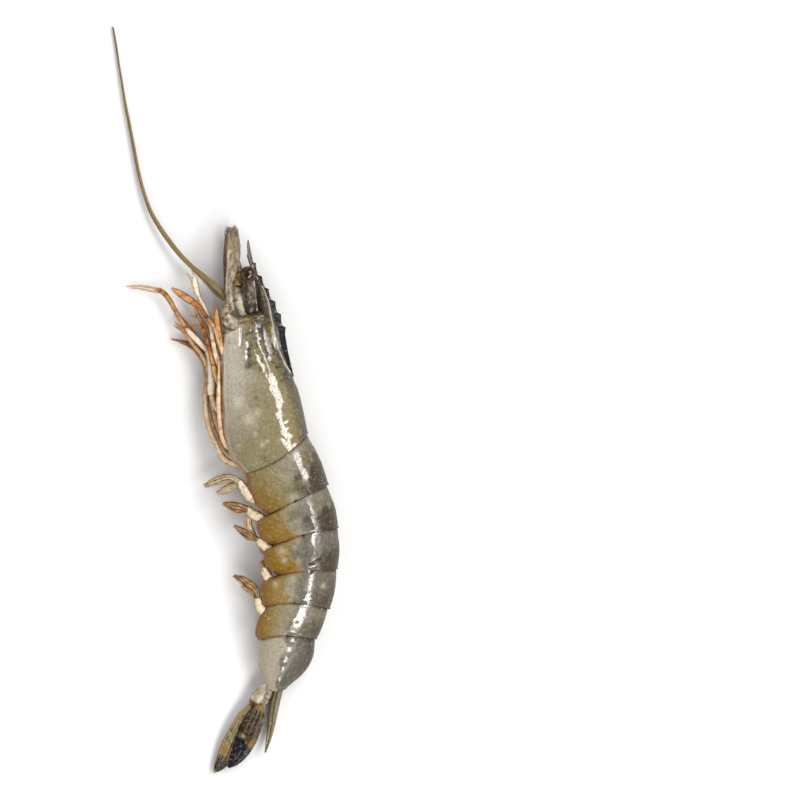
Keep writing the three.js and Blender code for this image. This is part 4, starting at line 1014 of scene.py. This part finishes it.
def antennule(label, side):
    casting = Casting(f"antennule_{label}_stem_and_whips")
    rows, run, fold, flat = limb_rows(placed(STEM_JOINTS, side), 0.35, 24, knees=(1, 2, 3))
    rows = raised(rows, 0.14 * bumps(rows, 1.3, 65))
    casting.skin(rows, head_limb_finish, edge=0.5 * fade(-flat, 0.3, 0.9),
                 tone=0.05 + 0.55 * fade(run, 8.5, 11.5) + 0.55 * bumps(rows, 1.6, 66),
                 grey=0.1, ink=0.8 * bell(run - 9.5, 1.0) * (flat > -0.2), fold=fold)
    for lean in (-1, 1):
        whip = placed([[4.4 + 0.4 * lean, 56.5, 2.7 - 0.3 * lean, 0.55],
                       [3.9 + 0.9 * lean, 63.0, 2.6 - 0.5 * lean, 0.42],
                       [2.9 + 1.4 * lean, 69.0, 2.5 - 0.7 * lean, 0.26]], side)
        rows, run, fold, _ = limb_rows(whip, 0.3, 12)
        casting.skin(rows, head_limb_finish, tone=0.55 + 0.25 * np.sin(run * 9), fold=fold)
    return casting


def antenna_base(label, side):
    rows, run, fold, flat = limb_rows(placed(BASE_JOINTS, side), 0.25, 60, knees=(4,))
    arc, rim = near(rows, BASE_ARC, 0.42), near(rows, BASE_RIM, 0.55)
    rows = raised(rows, 0.34 * arc + 0.18 * rim + 0.22 * bumps(rows, 1.5, 70))
    return Casting(f"feeler_base_{label}_knob").skin(
        rows, head_limb_finish, edge=held(0.5 * fade(np.abs(flat), 0.8, 1.0) + 0.6 * rim), fold=fold,
        tone=0.24 + 0.65 * arc + 0.4 * rim + 0.6 * bumps(rows, 1.6, 71) + 0.2 * fade(run, 9, 12),
        grey=held(0.35 + 0.5 * bumps(rows, 2, 72)))


HEAD_LIMBS = {"antennal_scale": antennal_scale, "antennule": antennule, "antenna_base": antenna_base}
for label, side in SIDES:
    for node, limb in HEAD_LIMBS.items():
        dressed(limb(label, side), f"{node}_{label}")
print("scale blades are", round(2 * max(j[3] for j in SCALE_JOINTS), 1), "mm wide")

# %% The long feelers
FEELERS = {
    "left": [[0.4, 41.4, 16.6], [-1.8, 44.9, 15.4], [-9, 51, 12], [-13.5, 54.6, 9.9], [-18.5, 59.7, 8],
        [-23.3, 65.8, 6.2], [-27.4, 71.7, 5], [-30.9, 77.9, 4], [-33.6, 85.2, 3.3], [-35.7, 93.4, 2.9],
        [-37.6, 103.3, 2.6], [-39.5, 113.1, 2.4], [-41.2, 121.5, 2.2], [-42.6, 129.8, 2],
        [-43.9, 137.6, 1.8], [-45, 145.3, 1.6], [-46.4, 153.1, 1.4]],
    "right": [[0.4, 40.4, 6], [-3.8, 43.6, 6.3], [-8.6, 48.8, 6], [-13.4, 53.6, 5.2], [-18.9, 59, 4.2],
        [-23.8, 65, 3.2], [-27.9, 71, 2.4], [-31.4, 77.3, 1.8], [-34, 84.9, 1.3], [-36.2, 93.2, 1],
        [-38.1, 103.1, 0.9], [-40, 112.9, 0.9], [-41.6, 121.3, 0.8], [-42.9, 129.6, 0.7],
        [-44.2, 137.4, 0.7], [-45.4, 145.3, 0.6], [-46.7, 153.3, 0.5]],
}
FEELER_RADII = {"root": 0.85, "middle": 0.55, "tip": 0.22}
RING_SPACING = 0.8  # from one ring of a feeler to the next


def feeler_joints(route):
    line = rail(route)
    share = np.linspace(0, 1, 120)
    radius = np.interp(share, [0, 0.4, 1], list(FEELER_RADII.values()))
    return np.c_[line(share), radius].tolist()


for label, route in FEELERS.items():
    rows, run, fold, _ = limb_rows(feeler_joints(route), RING_SPACING / 4, 12)
    rings = np.cos(2 * np.pi * run / RING_SPACING)
    rows = raised(rows, 0.04 * rings * (1 - 0.6 * run / run.max()))
    # painted light: each whip's upper side is painted paler and its sides darker
    top = fade(rows[..., 2] - rows[..., 2].mean(axis=1, keepdims=True), -0.2, 0.4)
    dressed(Casting(f"feeler_{label}_whip").skin(
        rows, feeler_finish, tone=0.80 - 0.42 * top - 0.08 * rings, ink=0.1, fold=fold),
        f"antenna_{label}")
    print("feeler", label, "is", round(float(run[-1, 0])), "mm long")

# %% [markdown]
# ## Jaw feet and walking legs
#
# The third jaw feet and five pairs of legs are thin tubes with knees. The first three pairs of legs
# end in small pincers, whose fixed finger is a branch. The legs are cream or tan with orange edges,
# and their outer joints turn orange and rust. Each leg gives one tone for each of its joints.

# %% The joints of the jaw feet and legs: [x, y, z, half width, half thickness]
LIMBS = {  # tones, knees and stem, and the branch where there is one
    "jaw_foot_left": ([0.2, 0.2, 0.3, 0.45, 0.85, 0.82, 0.5, 0.45, 0.5, 0.6], (3, 4, 6),
        [[4, 14, 14.6, 1.3], [0.4, 17, 15.6, 1.3], [-1.9, 22, 16.2, 1.1], [-4.4, 29.5, 16.6, 1],
        [-7.4, 33.4, 15.6, 0.95], [-10.6, 37.6, 14, 1], [-13.2, 39.9, 13.2, 1.3, 0.9],
        [-16, 41.7, 11.8, 1.5, 0.7], [-19.2, 43.8, 10.3, 1.2, 0.5], [-21.9, 45.5, 9.2, 0.5, 0.35]],
        [[-1.4, 21, 16, 1], [-2.6, 27, 17.2, 1.2, 0.6], [-3.4, 33, 17.4, 1.1, 0.5], [-3.6, 38, 17, 0.3]]),
    "jaw_foot_right": ([0.3, 0.3, 0.3, 0.5, 0.6, 0.6, 0.6], (3, 4), [[4, 14, 6.6, 1.3], [0, 18, 6.4, 1.3],
        [-2.2, 24, 6.2, 1.1], [-5.6, 31, 5.8, 1], [-9.4, 36.6, 5, 0.9], [-13, 39.4, 4.2, 1, 0.6],
        [-16.8, 41.8, 3.4, 0.6, 0.4]], [[-2, 22, 6.2, 1], [-2.9, 28, 6.4, 1.2, 0.6],
        [-3.4, 34, 6.8, 0.9, 0.5], [-3.4, 37.4, 7, 0.3]]),
    "leg_1_left": ([0.1, 0.1, 0.1, 0.1, 0.05, 0.05, 0.1, 0, 0, 0.15, 0.25], (3, 6, 7), [[4, 6.5, 15, 1.5],
        [-0.6, 11, 15.2, 1.2], [-3.6, 17, 15.5, 1.1], [-5, 24, 15, 1], [-6.2, 32, 13.6, 1],
        [-8.9, 38, 11.8, 1], [-10.9, 42, 10.8, 0.85], [-12.1, 45.7, 10.2, 1.3], [-12.7, 48.9, 9.7, 1.2],
        [-12.8, 50.8, 9.3, 0.55], [-13.9, 52.8, 8.8, 0.25]], [[-12.6, 47.4, 9.7, 0.8],
        [-14.3, 49.8, 9.2, 0.45], [-15.9, 51.8, 8.5, 0.22]]),
    "leg_1_right": ([0.3, 0.3, 0.3, 0.3, 0.4, 0.4, 0.45, 0.5], (2, 4), [[4, 5, 9.6, 1.5],
        [-1.4, 9, 9.4, 1.2], [-4.2, 17, 9.2, 1.1], [-6.2, 24, 8.8, 1.25], [-8.8, 30.2, 8.2, 1.1],
        [-11.2, 34.4, 7.6, 0.9], [-12.4, 37.2, 7.2, 0.5], [-13.3, 39.4, 6.9, 0.25]], [[-11, 34, 7.6, 0.6],
        [-12.8, 34, 7.4, 0.45], [-14.4, 34.7, 7.1, 0.2]]),
    "leg_2_left": ([0.3, 0.3, 0.35, 0.5, 0.75, 0.85, 0.7, 0.7, 0.75], (3, 5, 6), [[4, 1, 14.6, 1.5],
        [-0.8, 4.4, 14.9, 1.3], [-3.4, 8.4, 15, 1.2], [-4.8, 14, 14.4, 1.2], [-6.3, 20.5, 13.6, 0.95],
        [-8, 25.4, 12.8, 0.9], [-9.6, 29.2, 12, 0.8], [-12.4, 30.6, 11.4, 0.45], [-15.9, 30.9, 10.8, 0.2]],
        [[-9, 28, 12.2, 0.5], [-9.6, 31.4, 12, 0.4], [-9, 33.6, 11.8, 0.2]]),
    "leg_2_right": ([0.3, 0.3, 0.3, 0.3, 0.33, 0.33, 0.4, 0.45, 0.5, 0.55], (3, 5), [[4, -1, 9, 1.5],
        [-2, 2, 8.8, 1.3], [-5.4, 7, 8.4, 1.2], [-7.4, 13.6, 8, 1.2], [-9.6, 18, 7.4, 0.95],
        [-12.9, 22.2, 6.4, 0.9], [-16.2, 27, 5.2, 1], [-17.6, 28.6, 4.8, 0.75], [-19.4, 30.4, 4.4, 0.45],
        [-20.9, 31.6, 4.2, 0.2]], [[-16.8, 27.6, 5, 0.6], [-19.6, 29.3, 4.3, 0.4], [-21.4, 30.6, 4, 0.2]]),
    "leg_3_left": ([0.1, 0.1, 0.1, 0.08, 0.05, 0, 0, 0.1, 0.05, 0.12, 0.55, 0.65, 0.62, 0.6, 0.5, 0.4, 0.4,
        0.45], (3, 7, 10, 13), [[4, -9, 12.9, 1.5], [-0.6, -7, 12.8, 1.3], [-3.8, -3.4, 12.6, 1.15],
        [-5.6, 1.6, 12.4, 1.2], [-5.8, 3.2, 12.3, 1.7], [-5.5, 10, 12, 1.8], [-6.4, 18, 11.2, 1.5],
        [-7.6, 20, 10.8, 1.1], [-11.4, 24.2, 9.6, 1.35], [-15, 27.8, 8.4, 1.15], [-16.4, 29.6, 7.9, 0.85],
        [-20.4, 36, 6.6, 0.9], [-24, 42, 5.5, 1], [-26.6, 44.6, 4.7, 0.95], [-29.4, 45.7, 4, 0.45],
        [-33.8, 46.5, 3.2, 0.35], [-37.4, 46.7, 2.6, 0.3], [-40.8, 46.5, 2.2, 0.18]],
        [[-26.2, 44, 4.7, 0.6], [-29.2, 44.3, 3.9, 0.4], [-33, 45.1, 3.1, 0.35], [-36.4, 45.7, 2.4, 0.28],
        [-39.6, 45.9, 1.9, 0.18]]),
    "leg_3_right": ([0.3, 0.3, 0.3, 0.3, 0.3, 0.35, 0.4, 0.5, 0.55, 0.6, 0.65], (4, 7),
        [[4, -10.5, 6, 1.5], [-1, -8.6, 5.4, 1.3], [-4.4, -4, 4.6, 1.2], [-5.2, 3, 3.6, 1.3],
        [-5, 10, 3, 1.4], [-6, 17, 2.5, 1.2], [-9.2, 21.8, 2.1, 1], [-12.8, 26.2, 2, 0.95],
        [-16, 30.4, 1.8, 0.8], [-18.4, 33.6, 1.6, 0.45], [-20.2, 36.2, 1.4, 0.2]],
        [[-15.8, 29.8, 1.8, 0.5], [-18.8, 32.8, 1.5, 0.4], [-21, 35.2, 1.2, 0.2]]),
    "leg_4_left": ([0.3, 0.3, 0.35, 0.35, 0.3, 0.22, 0.2, 0.3, 0.4, 0.45], (3, 7),
        [[5.5, -20.5, 14.8, 1.6], [1, -19.4, 16.2, 1.3], [-1.1, -16, 17, 1.1], [-1.9, -12, 17.2, 1],
        [-2.3, -8.4, 17.2, 1.05], [-2.7, -2, 17.4, 1], [-2.6, 4, 17.5, 0.9], [-2.6, 8, 17.5, 0.7],
        [-2.6, 13, 17.4, 0.5], [-2.8, 17.6, 17.3, 0.25]]),
    "leg_4_right": ([0.2, 0.2, 0.2, 0.2, 0.2, 0.25, 0.3, 0.4, 0.5], (3, 5), [[6, -19, 9.4, 1.6],
        [0.4, -17.4, 9.6, 1.3], [-2.8, -12, 9.4, 1.1], [-5, -5, 8.6, 1], [-5.8, 1, 7.2, 0.95],
        [-5.4, 7, 5.9, 0.8], [-6, 11, 5.4, 0.7], [-6.6, 15, 5.2, 0.45], [-7.2, 18.4, 5, 0.25]]),
    "leg_5_left": ([0, 0.05, 0.25, 0.3, 0.2, 0.3, 0.3, 0.22, 0.25, 0.45, 0.5, 0.6, 0.72, 0.8, 0.8, 0.7],
        (4, 8, 11), [[11, -27.8, 14, 1.8], [6.4, -26.9, 14.4, 1.5], [2.2, -25.9, 14, 1.2],
        [-0.9, -23.9, 13, 1.2], [-3.7, -18.4, 12, 1.05], [-5, -15.6, 11.6, 1.15], [-6.8, -11.2, 10.8, 1.1],
        [-8, -4.6, 9.7, 1], [-8.3, 2.6, 8.4, 1], [-7.6, 6.2, 7.5, 0.6], [-8, 12, 6.2, 0.6],
        [-9, 15.9, 5.2, 0.7], [-10.6, 20.6, 4.4, 1, 0.8], [-14, 22.8, 3.5, 0.9, 0.7],
        [-18.4, 23.9, 2.7, 0.6, 0.5], [-22.5, 24.9, 2, 0.22]]),
    "leg_5_right": ([0.2, 0.2, 0.2, 0.2, 0.2, 0.3, 0.4, 0.5, 0.7, 0.75, 0.8], (3, 5), [[11, -25.6, 8, 1.8],
        [5, -24.6, 7.8, 1.4], [-1.4, -20.2, 6.8, 1.2], [-5, -12, 5.8, 1.1], [-7.4, -4, 5, 1],
        [-8.1, 2.4, 4.4, 0.95], [-8.1, 8, 4, 0.6], [-9, 14, 3, 0.6], [-11.6, 19.2, 1.9, 0.85, 0.7],
        [-15.2, 22.2, 1.4, 0.7, 0.6], [-18.8, 23.5, 1, 0.3]]),
}


def walking_limb(name):
    """A stem with its branch as one piece: the stem has tones and knees, the branch one tone."""
    tones, knees, *routes = LIMBS[name]
    casting = Casting(f"{name}_skin")
    # painted shade: one side of each leg and jaw foot is greyed, fully on leg_1_left and leg_4_left
    shade = 1.0 if name in ("leg_1_left", "leg_4_left") else 0.35
    hairy_edges = (0.0, 0.1, 0.4, 0.5) if name.startswith("jaw") else (0.0, 0.5)
    for i, route in enumerate(routes):
        rows, run, fold, flat = limb_rows(route, 0.45, 18, () if i else knees)
        own = [tones[-1] * 0.9 + 0.05] * len(route) if i else tones
        rows = raised(rows, 0.10 * bumps(rows, 1.3, 80 + i))
        casting.skin(rows, leg_finish, edge=fade(np.abs(flat), 0.5, 0.98), fold=fold,
                     tone=tones_along(route, own, run) + 0.35 * np.maximum(bumps(rows, 2, 85), 0),
                     grey=0.55 * shade * fade(flat, 0.35, 0.95))
        hairy("leg", rows, 0.25 if i else 0.45, hairy_edges)
    return casting


for name in LIMBS:
    dressed(walking_limb(name), name)

# %% [markdown]
# ## Swimming legs
#
# Under each of the first five segments hangs a pair of swimming legs. Each is a stout cream stem that
# carries two leaf-like blades, brown and half clear, with orange rims and a fringe of fine hairs.

# %% The swimming legs
SWIMMERETS = [
    {"stem": [[17, -41.5], [11.2, -40.6], [8, -37.2], [6, -33.8]], "blades": [[[6, -33.8, 1.1],
        [1.6, -32.2, 1.5], [-3.2, -33.2, 1.5], [-8.4, -35.4, 0.7]], [[6.4, -34.6, 0.9], [2.4, -35.6, 1.4],
        [-0.6, -37.4, 1.4], [-3.4, -38.3, 0.4]]]},
    {"stem": [[18.4, -50.4], [13.4, -48], [10.8, -46.6], [9.4, -44.8]], "blades": [[[9.4, -45, 1.1],
        [5.6, -44.4, 2], [2.2, -43.4, 1.6], [-0.9, -42.6, 0.4]], [[10.4, -46.6, 0.9], [9.2, -50.6, 1.4],
        [10.4, -53.8, 1.2], [12.4, -56.4, 0.4]]]},
    {"stem": [[20.4, -62], [16.8, -60.4], [14.6, -58.8], [13.2, -57.4]], "blades": [[[13.2, -57.4, 0.9],
        [9.6, -55.8, 1.6], [6.6, -53.8, 1.2], [3.8, -51.8, 0.4]], [[15, -59, 0.8], [14.9, -60.6, 1],
        [15.5, -62.2, 0.8], [16.6, -63.6, 0.3]]]},
    {"stem": [[20.6, -75], [17.9, -73.4], [16.5, -71.4], [15.8, -69.4]], "blades": [[[15.7, -69.8, 0.9],
        [15.1, -68, 0.9], [15.2, -66.8, 0.7], [15.8, -66, 0.3]], [[16.6, -71.8, 0.8], [16.8, -73.8, 0.9],
        [17.6, -75.6, 0.7], [18.8, -77, 0.3]]]},
    {"stem": [[18.6, -88.4], [15.6, -86.8], [13.8, -84.4], [13.4, -81.8]], "blades": [[[13.4, -81.6, 0.9],
        [11.6, -77.6, 1.5], [7.6, -74.4, 1.5], [3.5, -72.3, 0.4]], [[13.2, -82.4, 0.8], [11.4, -79.6, 1.1],
        [9, -77.8, 1], [6.6, -76.8, 0.4]]]},
]
STEM_RADII, STEM_OUT = [1.4, 2.0, 1.9, 1.3], 4.2
BLADE_HALF_THICKNESS = 0.34
BLADE_LIFTS = [1.0, -1.2]  # the outer blade lies over the inner one
BLADE_SINKS = {"left": 0.5, "right": 0.2}  # how much lower each joint of a blade lies than the last
BLADE_TONES = [0.42, 0.7, 0.75, 0.6, 0.72]  # of the outer blades; the first pair's is the palest
INNER_BLADE_TONE = 0.35


def swimmeret(number, label, side):
    here = SWIMMERETS[number - 1]
    height = (seam_height(number - 1) + seam_height(number)) / 2 + side * STEM_OUT
    casting = Casting(f"swimmeret_{number}_{label}_skin")
    stem = [[x, y, height, radius] for (x, y), radius in zip(here["stem"], STEM_RADII)]
    rows, _, fold, flat = limb_rows(stem, 0.3, 28)
    rows = raised(rows, 0.5 * bumps(rows, 1.7, 90 + number) + 0.16 * bumps(rows, 0.8, 96))
    casting.skin(rows, swimmeret_finish, tone=0.5 * np.maximum(bumps(rows, 2.0, 95), 0), fold=0.5 * fold,
                 edge=fade(np.abs(flat), 0.6, 0.98), ink=0.35 * fade(-bumps(rows, 1.4, 97), 0.15, 0.4))
    for b, blade in enumerate(here["blades"]):
        route = [[x, y, height + BLADE_LIFTS[b] - BLADE_SINKS[label] * i, width, BLADE_HALF_THICKNESS]
                 for i, (x, y, width) in enumerate(blade)]
        rows, _, fold, flat = limb_rows(route, 0.3, 32, edge=1.3)
        vein, lines = bell(flat, 0.12), np.sin(flat * 9 + 4 * bumps(rows, 3, 102))
        rows = raised(rows, 0.1 * vein + 0.12 * bumps(rows, 1.5, 99 + b) + 0.03 * lines)
        tone = INNER_BLADE_TONE if b else BLADE_TONES[number - 1]
        casting.skin(rows, swimmeret_finish, edge=fade(np.abs(flat), 0.8, 1.0), fold=fold,
                     tone=tone - 0.2 * vein + 0.2 * lines + 0.25 * bumps(rows, 2, 101),
                     grey=0.4 if number == 1 else 0.15, ink=0.25 * fade(lines, 0.4, 0.9))
        hairy("swimmeret", rows)
    return casting


for number in range(1, 6):
    for label, side in SIDES:
        dressed(swimmeret(number, label, side), f"swimmeret_{number}_{label}")
print("swimming legs:", 2 * len(SWIMMERETS))

# %% [markdown]
# ## The tail fan
#
# The last plate, the telson, is a long spike with a groove down its middle. On each side a glossy
# knob carries two blades: the outer one is stiffened by a rib, the inner one is broad and dark. Fine
# ridges run along both, and a fringe of hairs edges them.

# %% The telson and the blades
TAIL_HEIGHT = seam_height(6)
TELSON = [[22.4, -116, TAIL_HEIGHT, 2, 2.8], [20.9, -121, TAIL_HEIGHT, 2.2, 3],
    [19.7, -127, TAIL_HEIGHT, 2, 2.7], [18.6, -134, TAIL_HEIGHT, 1.6, 1.9],
    [17.3, -140.5, TAIL_HEIGHT, 1, 1.1], [16.2, -145, TAIL_HEIGHT, 0.3]]
TAIL = {
    "left": {"protopod": [[17.8, -116.2, 6.6, 2], [15.6, -119.4, 7, 2.5, 2.3],
        [13.1, -122.5, 7.2, 2.9, 2.5], [11.6, -124.6, 7, 2.4, 2.1]],
        "exopod": [[10.4, -126.2, 6.4, 1.6, 0.8], [7.3, -130.4, 6, 2.5, 0.6], [4.5, -136, 5.3, 3.1, 0.55],
        [1.6, -142, 4.5, 3.3, 0.5], [-1, -147.8, 3.7, 2.9, 0.45], [-3.5, -151.6, 3, 1.6, 0.4],
        [-5, -153.2, 2.7, 0.4, 0.3]], "endopod": [[14.2, -125.4, 8.2, 1.7, 0.8],
        [12.9, -129.6, 7.9, 3.3, 0.6], [10.3, -135.2, 7.2, 4.2, 0.5], [7.9, -140.4, 6.3, 4.2, 0.45],
        [5.3, -145.4, 5.4, 3.4, 0.45], [2.8, -149.2, 4.7, 1.9, 0.4], [1.1, -151.2, 4.3, 0.4, 0.3]]},
    "right": {"protopod": [[18.4, -116.2, 2.9, 1.8], [16.4, -119.2, 2.5, 2.3, 2],
        [14, -122.2, 2.3, 2.6, 2], [12.6, -124.2, 2.2, 2.2, 1.8]], "exopod": [[11.6, -126, 1.5, 1.6, 0.7],
        [9.3, -129.6, 1.1, 2.5, 0.5], [6.8, -134.8, 0.9, 3.2, 0.45], [4, -140.6, 0.8, 3.4, 0.4],
        [1.4, -146.2, 0.7, 2.8, 0.4], [-1, -150, 0.65, 1.6, 0.35], [-2.3, -151.6, 0.6, 0.4, 0.3]],
        "endopod": [[14.4, -126.2, 2.6, 1.3, 0.6], [13, -130, 2.4, 2.4, 0.45], [11, -134.8, 2.2, 3.4, 0.4],
        [8.6, -139.8, 2, 3.6, 0.4], [6, -144.4, 1.9, 2.9, 0.35], [3.8, -147.8, 1.8, 1.6, 0.35],
        [2.4, -149.4, 1.7, 0.4, 0.3]]},
}
RIDGES = {"exopod": [0.82, 0.45, 0.05, -0.4], "endopod": [0.5, 0.05, -0.45]}


def tail_blade(name, label):
    rows, run, _, flat = limb_rows(TAIL[label][name], 0.35, 48, edge=1.25)
    way = run / run.max()
    ridge = sum(bell(flat - at, 0.09) for at in RIDGES[name]) * fade(way, 1.0, 0.75)
    rows = raised(rows, 0.24 * ridge + 0.10 * bumps(rows, 1.8, 110) + 0.04 * np.sin(flat * 60))
    hairy("tail_fan", rows, 0.45)
    patches = bumps(rows, 2.2, 111)
    if name == "exopod":
        gold_patch = bell(way - 0.66, 0.09)
        masks = {"warm": 0.9, "smoke": 0.9 * fade(way, 0.68, 0.80),
                 "gold": (0.26 + 0.4 * np.maximum(patches, 0)) * fade(way, 0.9, 0.75) + 0.4 * gold_patch,
                 "crest": 0.38 + 0.45 * fade(flat, 0.25, -0.25) + 0.4 * fade(-patches, 0, 0.5) - 0.3 * ridge
                 - 0.25 * gold_patch,
                 "ink": (0.46 + 0.4 * fade(flat, 0.3, 0.7)) * fade(way, 0.70, 0.80) * fade(way, 1.02, 0.93),
                 "pale": 0.2 * ridge + 0.5 * fade(way, 0.95, 1.0), "rim": 0.6 * fade(flat, 0.82, 0.97)}
    else:
        masks = {"warm": 1.0, "gold": 0.45 + 0.4 * fade(patches, 0, 0.4),
                 "crest": held(0.55 * bell(way - 0.30, 0.20) + 0.42 - 0.5 * patches
                               - 0.12 * fade(flat, -0.2, -0.6)),
                 "ink": held(1.15 * fade(way + 0.08 * flat, 0.50, 0.64) + 0.12),
                 "pale": 0.14 * ridge * fade(way, 0.5, 0.3)
                 + 0.5 * bell(way - 0.50, 0.03) * bell(flat - 0.45, 0.16),
                 "rim": 0.5 * fade(flat, -0.82, -0.97) * fade(way, 0.75, 0.6)}
    return Casting(f"{name}_{label}_blade").skin(rows, tail_finish, dry=0.9, **masks)


rows, _, _, flat = limb_rows(TELSON, 0.3, 40)
groove, ribs = bell(flat, 0.14), bell(np.abs(flat) - 0.45, 0.1)
rows = raised(rows, 0.15 * ribs - 0.18 * groove + 0.09 * bumps(rows, 1.6, 120))
dressed(Casting("telson_spike").skin(
    rows, shell, warm=0.9, smoke=0.2, gold=0.4, crest=0.5 + 0.35 * groove, pale=0.2 * ribs,
    rim=0.5 * fade(np.abs(flat), 0.85, 1.0), dry=0.7), "telson")

# %% The joints, with the skin round them, and the blades
TAIL_SKIN = {  # the crumpled skin between the last segment and the blades
    "left": [[18.6, -115.6, 8, 1.9, 1.5], [17.6, -119, 8.3, 1.9, 1.2], [16.4, -122.4, 8.2, 1.6, 1],
        [14.9, -125.8, 8, 0.9, 0.6]],
    "right": [[18.8, -115.8, 3.4, 1.7, 1.2], [17.9, -118.8, 3, 1.6, 1], [16.6, -122.2, 2.8, 1.4, 0.8],
        [15, -125.4, 2.6, 0.8, 0.5]],
}
for label, fan in TAIL.items():
    rows, run, fold, flat = limb_rows(fan["protopod"], 0.25, 36)
    rows = raised(rows, 0.18 * bumps(rows, 2.0, 130))
    hind = fade(run, run.max() - 1.6, run.max())
    knob = Casting(f"protopod_{label}_knob").skin(
        rows, tail_joint_finish, tone=0.20 + 0.3 * bumps(rows, 2, 131) + 0.6 * hind,
        edge=0.8 * fade(np.abs(flat), 0.5, 1.0), grey=0.15, ink=0.3 * hind, fold=fold)
    rows, run, fold, flat = limb_rows(TAIL_SKIN[label], 0.2, 36)
    creases = bumps(rows, 0.9, 133)
    knob.skin(raised(rows, 0.55 * creases), tail_joint_finish, tone=0.32 - 0.6 * creases, grey=0.5, fold=fold)
    dressed(knob, f"protopod_{label}")
    for name in ("exopod", "endopod"):
        dressed(tail_blade(name, label), f"{name}_{label}")
print("the fan reaches", round(min(j[1] for fan in TAIL.values() for p in fan.values() for j in p), 1), "mm")

# %% Planting the bristles
def bristle_finish(name, *tones):
    made = Finish(name, Roughness=0.5)
    strand = made.speckle(0.7, 2, 0.6)
    return made.ends(Base_Color=made.ramp(strand, list(zip((0.3, 0.5, 0.7), (tint(*t) for t in tones)))))


orange_bristle = bristle_finish("orange_bristle", (110, 60, 24), (176, 108, 50), (210, 164, 108))
grey_bristle = bristle_finish("grey_bristle", (70, 54, 40), (134, 116, 94), (190, 178, 160))
rows_of_bristles = bristle_tree()
BRISTLES = {  # finish, spacing, length, thickness and unruliness; the lengths are millimetres
    "leg": (orange_bristle, 0.55, 1.1, 0.07, 0.45), "head_limb": (grey_bristle, 0.22, 2.2, 0.10, 0.55),
    "swimmeret": (orange_bristle, 0.32, 1.3, 0.06, 0.35), "tail_fan": (grey_bristle, 0.28, 0.9, 0.06, 0.30)}
for slot, (finish, spacing, length, thickness, unruly) in BRISTLES.items():
    piece = plant(rows_of_bristles, slot, finish, Spacing=spacing * MM, Length=length * MM,
                  Thickness=thickness * MM, Unruly=unruly)
    heights = [corner.co.z / MM for corner in piece.data.vertices]
    print(piece.name, "faces:", len(piece.data.polygons), "lowest:", round(min(heights), 2), "mm")

# %% [markdown]
# ## Table, light and camera
#
# A pale table, three soft boxes and a warm white surround. Two boxes are long and narrow and meet
# beside the back, so that the wet shell shows them as one broken line down the flank. The third is
# wide, softens the shadows from the belly's side and isn't mirrored in the shell. The camera looks
# straight down from far away, which keeps lengths true from head to tail.

# %% The table
table_mesh = bpy.data.meshes.new("table")
reach = 1.5
table_mesh.from_pydata([(-reach, -reach, 0), (reach, -reach, 0), (reach, reach, 0), (-reach, reach, 0)],
                       [], [(0, 1, 2, 3)])
table = shown("table", table_mesh)
table.location.z = -0.0002
pale_top = Finish("pale_table")
mottle = pale_top.speckle(60, 3, 0.5)
pale_top.ends(Base_Color=pale_top.blend(mottle, tint(238, 239, 241), tint(244, 245, 247)),
              Roughness=0.7 + mottle * 0.1)
table_mesh.materials.append(pale_top.material)

# %% The lights
world = bpy.data.worlds.new("surround")
bpy.context.scene.world = world
world.use_nodes = True
surround = world.node_tree.nodes["Background"].inputs
surround["Color"].default_value = (1.0, 0.97, 0.93, 1)
surround["Strength"].default_value = 0.22
bpy.context.scene.view_settings.view_transform = "Standard"

LIGHT_HEIGHT, BOX_WIDTH = 0.9, 0.34  # metres, as all of the lighting is
SUBJECT = Vector((0.02, -0.02, 0.01))


def soft_box(name, start, end, power, width=BOX_WIDTH, mirrored=True):
    """A long box of light between two [x, y] places, facing the prawn."""
    start, end = (Vector((*place, LIGHT_HEIGHT)) for place in (start, end))
    light = bpy.data.lights.new(name, "AREA")
    light.shape, light.size, light.size_y = "RECTANGLE", width, (end - start).length
    light.energy, light.color = power, (1, 0.99, 0.97)
    lamp = shown(name, light)
    lamp.visible_glossy = mirrored
    middle = (start + end) / 2
    along = (end - start).normalized()
    towards = SUBJECT - middle
    facing = -(towards - along * towards.dot(along)).normalized()
    lamp.matrix_world = Matrix((along.cross(facing), along, facing)).transposed().to_4x4()
    lamp.location = middle


soft_box("tail_window", (0.88, 0.12), (0.0, -1.10), 11.0)
soft_box("head_window", (0.80, 0.20), (0.30, 1.00), 7.4, width=0.52)
soft_box("wide_fill", (-1.3, 0.9), (-1.3, -0.9), 12.0, width=1.5, mirrored=False)

# %% The camera
VIEW_WIDTH, STAND_OFF, MIDDLE = 328.0, 3000.0, (71.545, -0.205)
SENSOR = 36.0
lens = bpy.data.cameras.new("camera")
lens.sensor_width, lens.sensor_fit = SENSOR, "HORIZONTAL"
lens.lens = SENSOR / VIEW_WIDTH * STAND_OFF
lens.clip_end = 20
camera = shown("camera", lens)
camera.location = (MIDDLE[0] * MM, MIDDLE[1] * MM, (STAND_OFF + 12) * MM)
bpy.context.scene.camera = camera
print("lens:", round(lens.lens), "mm")
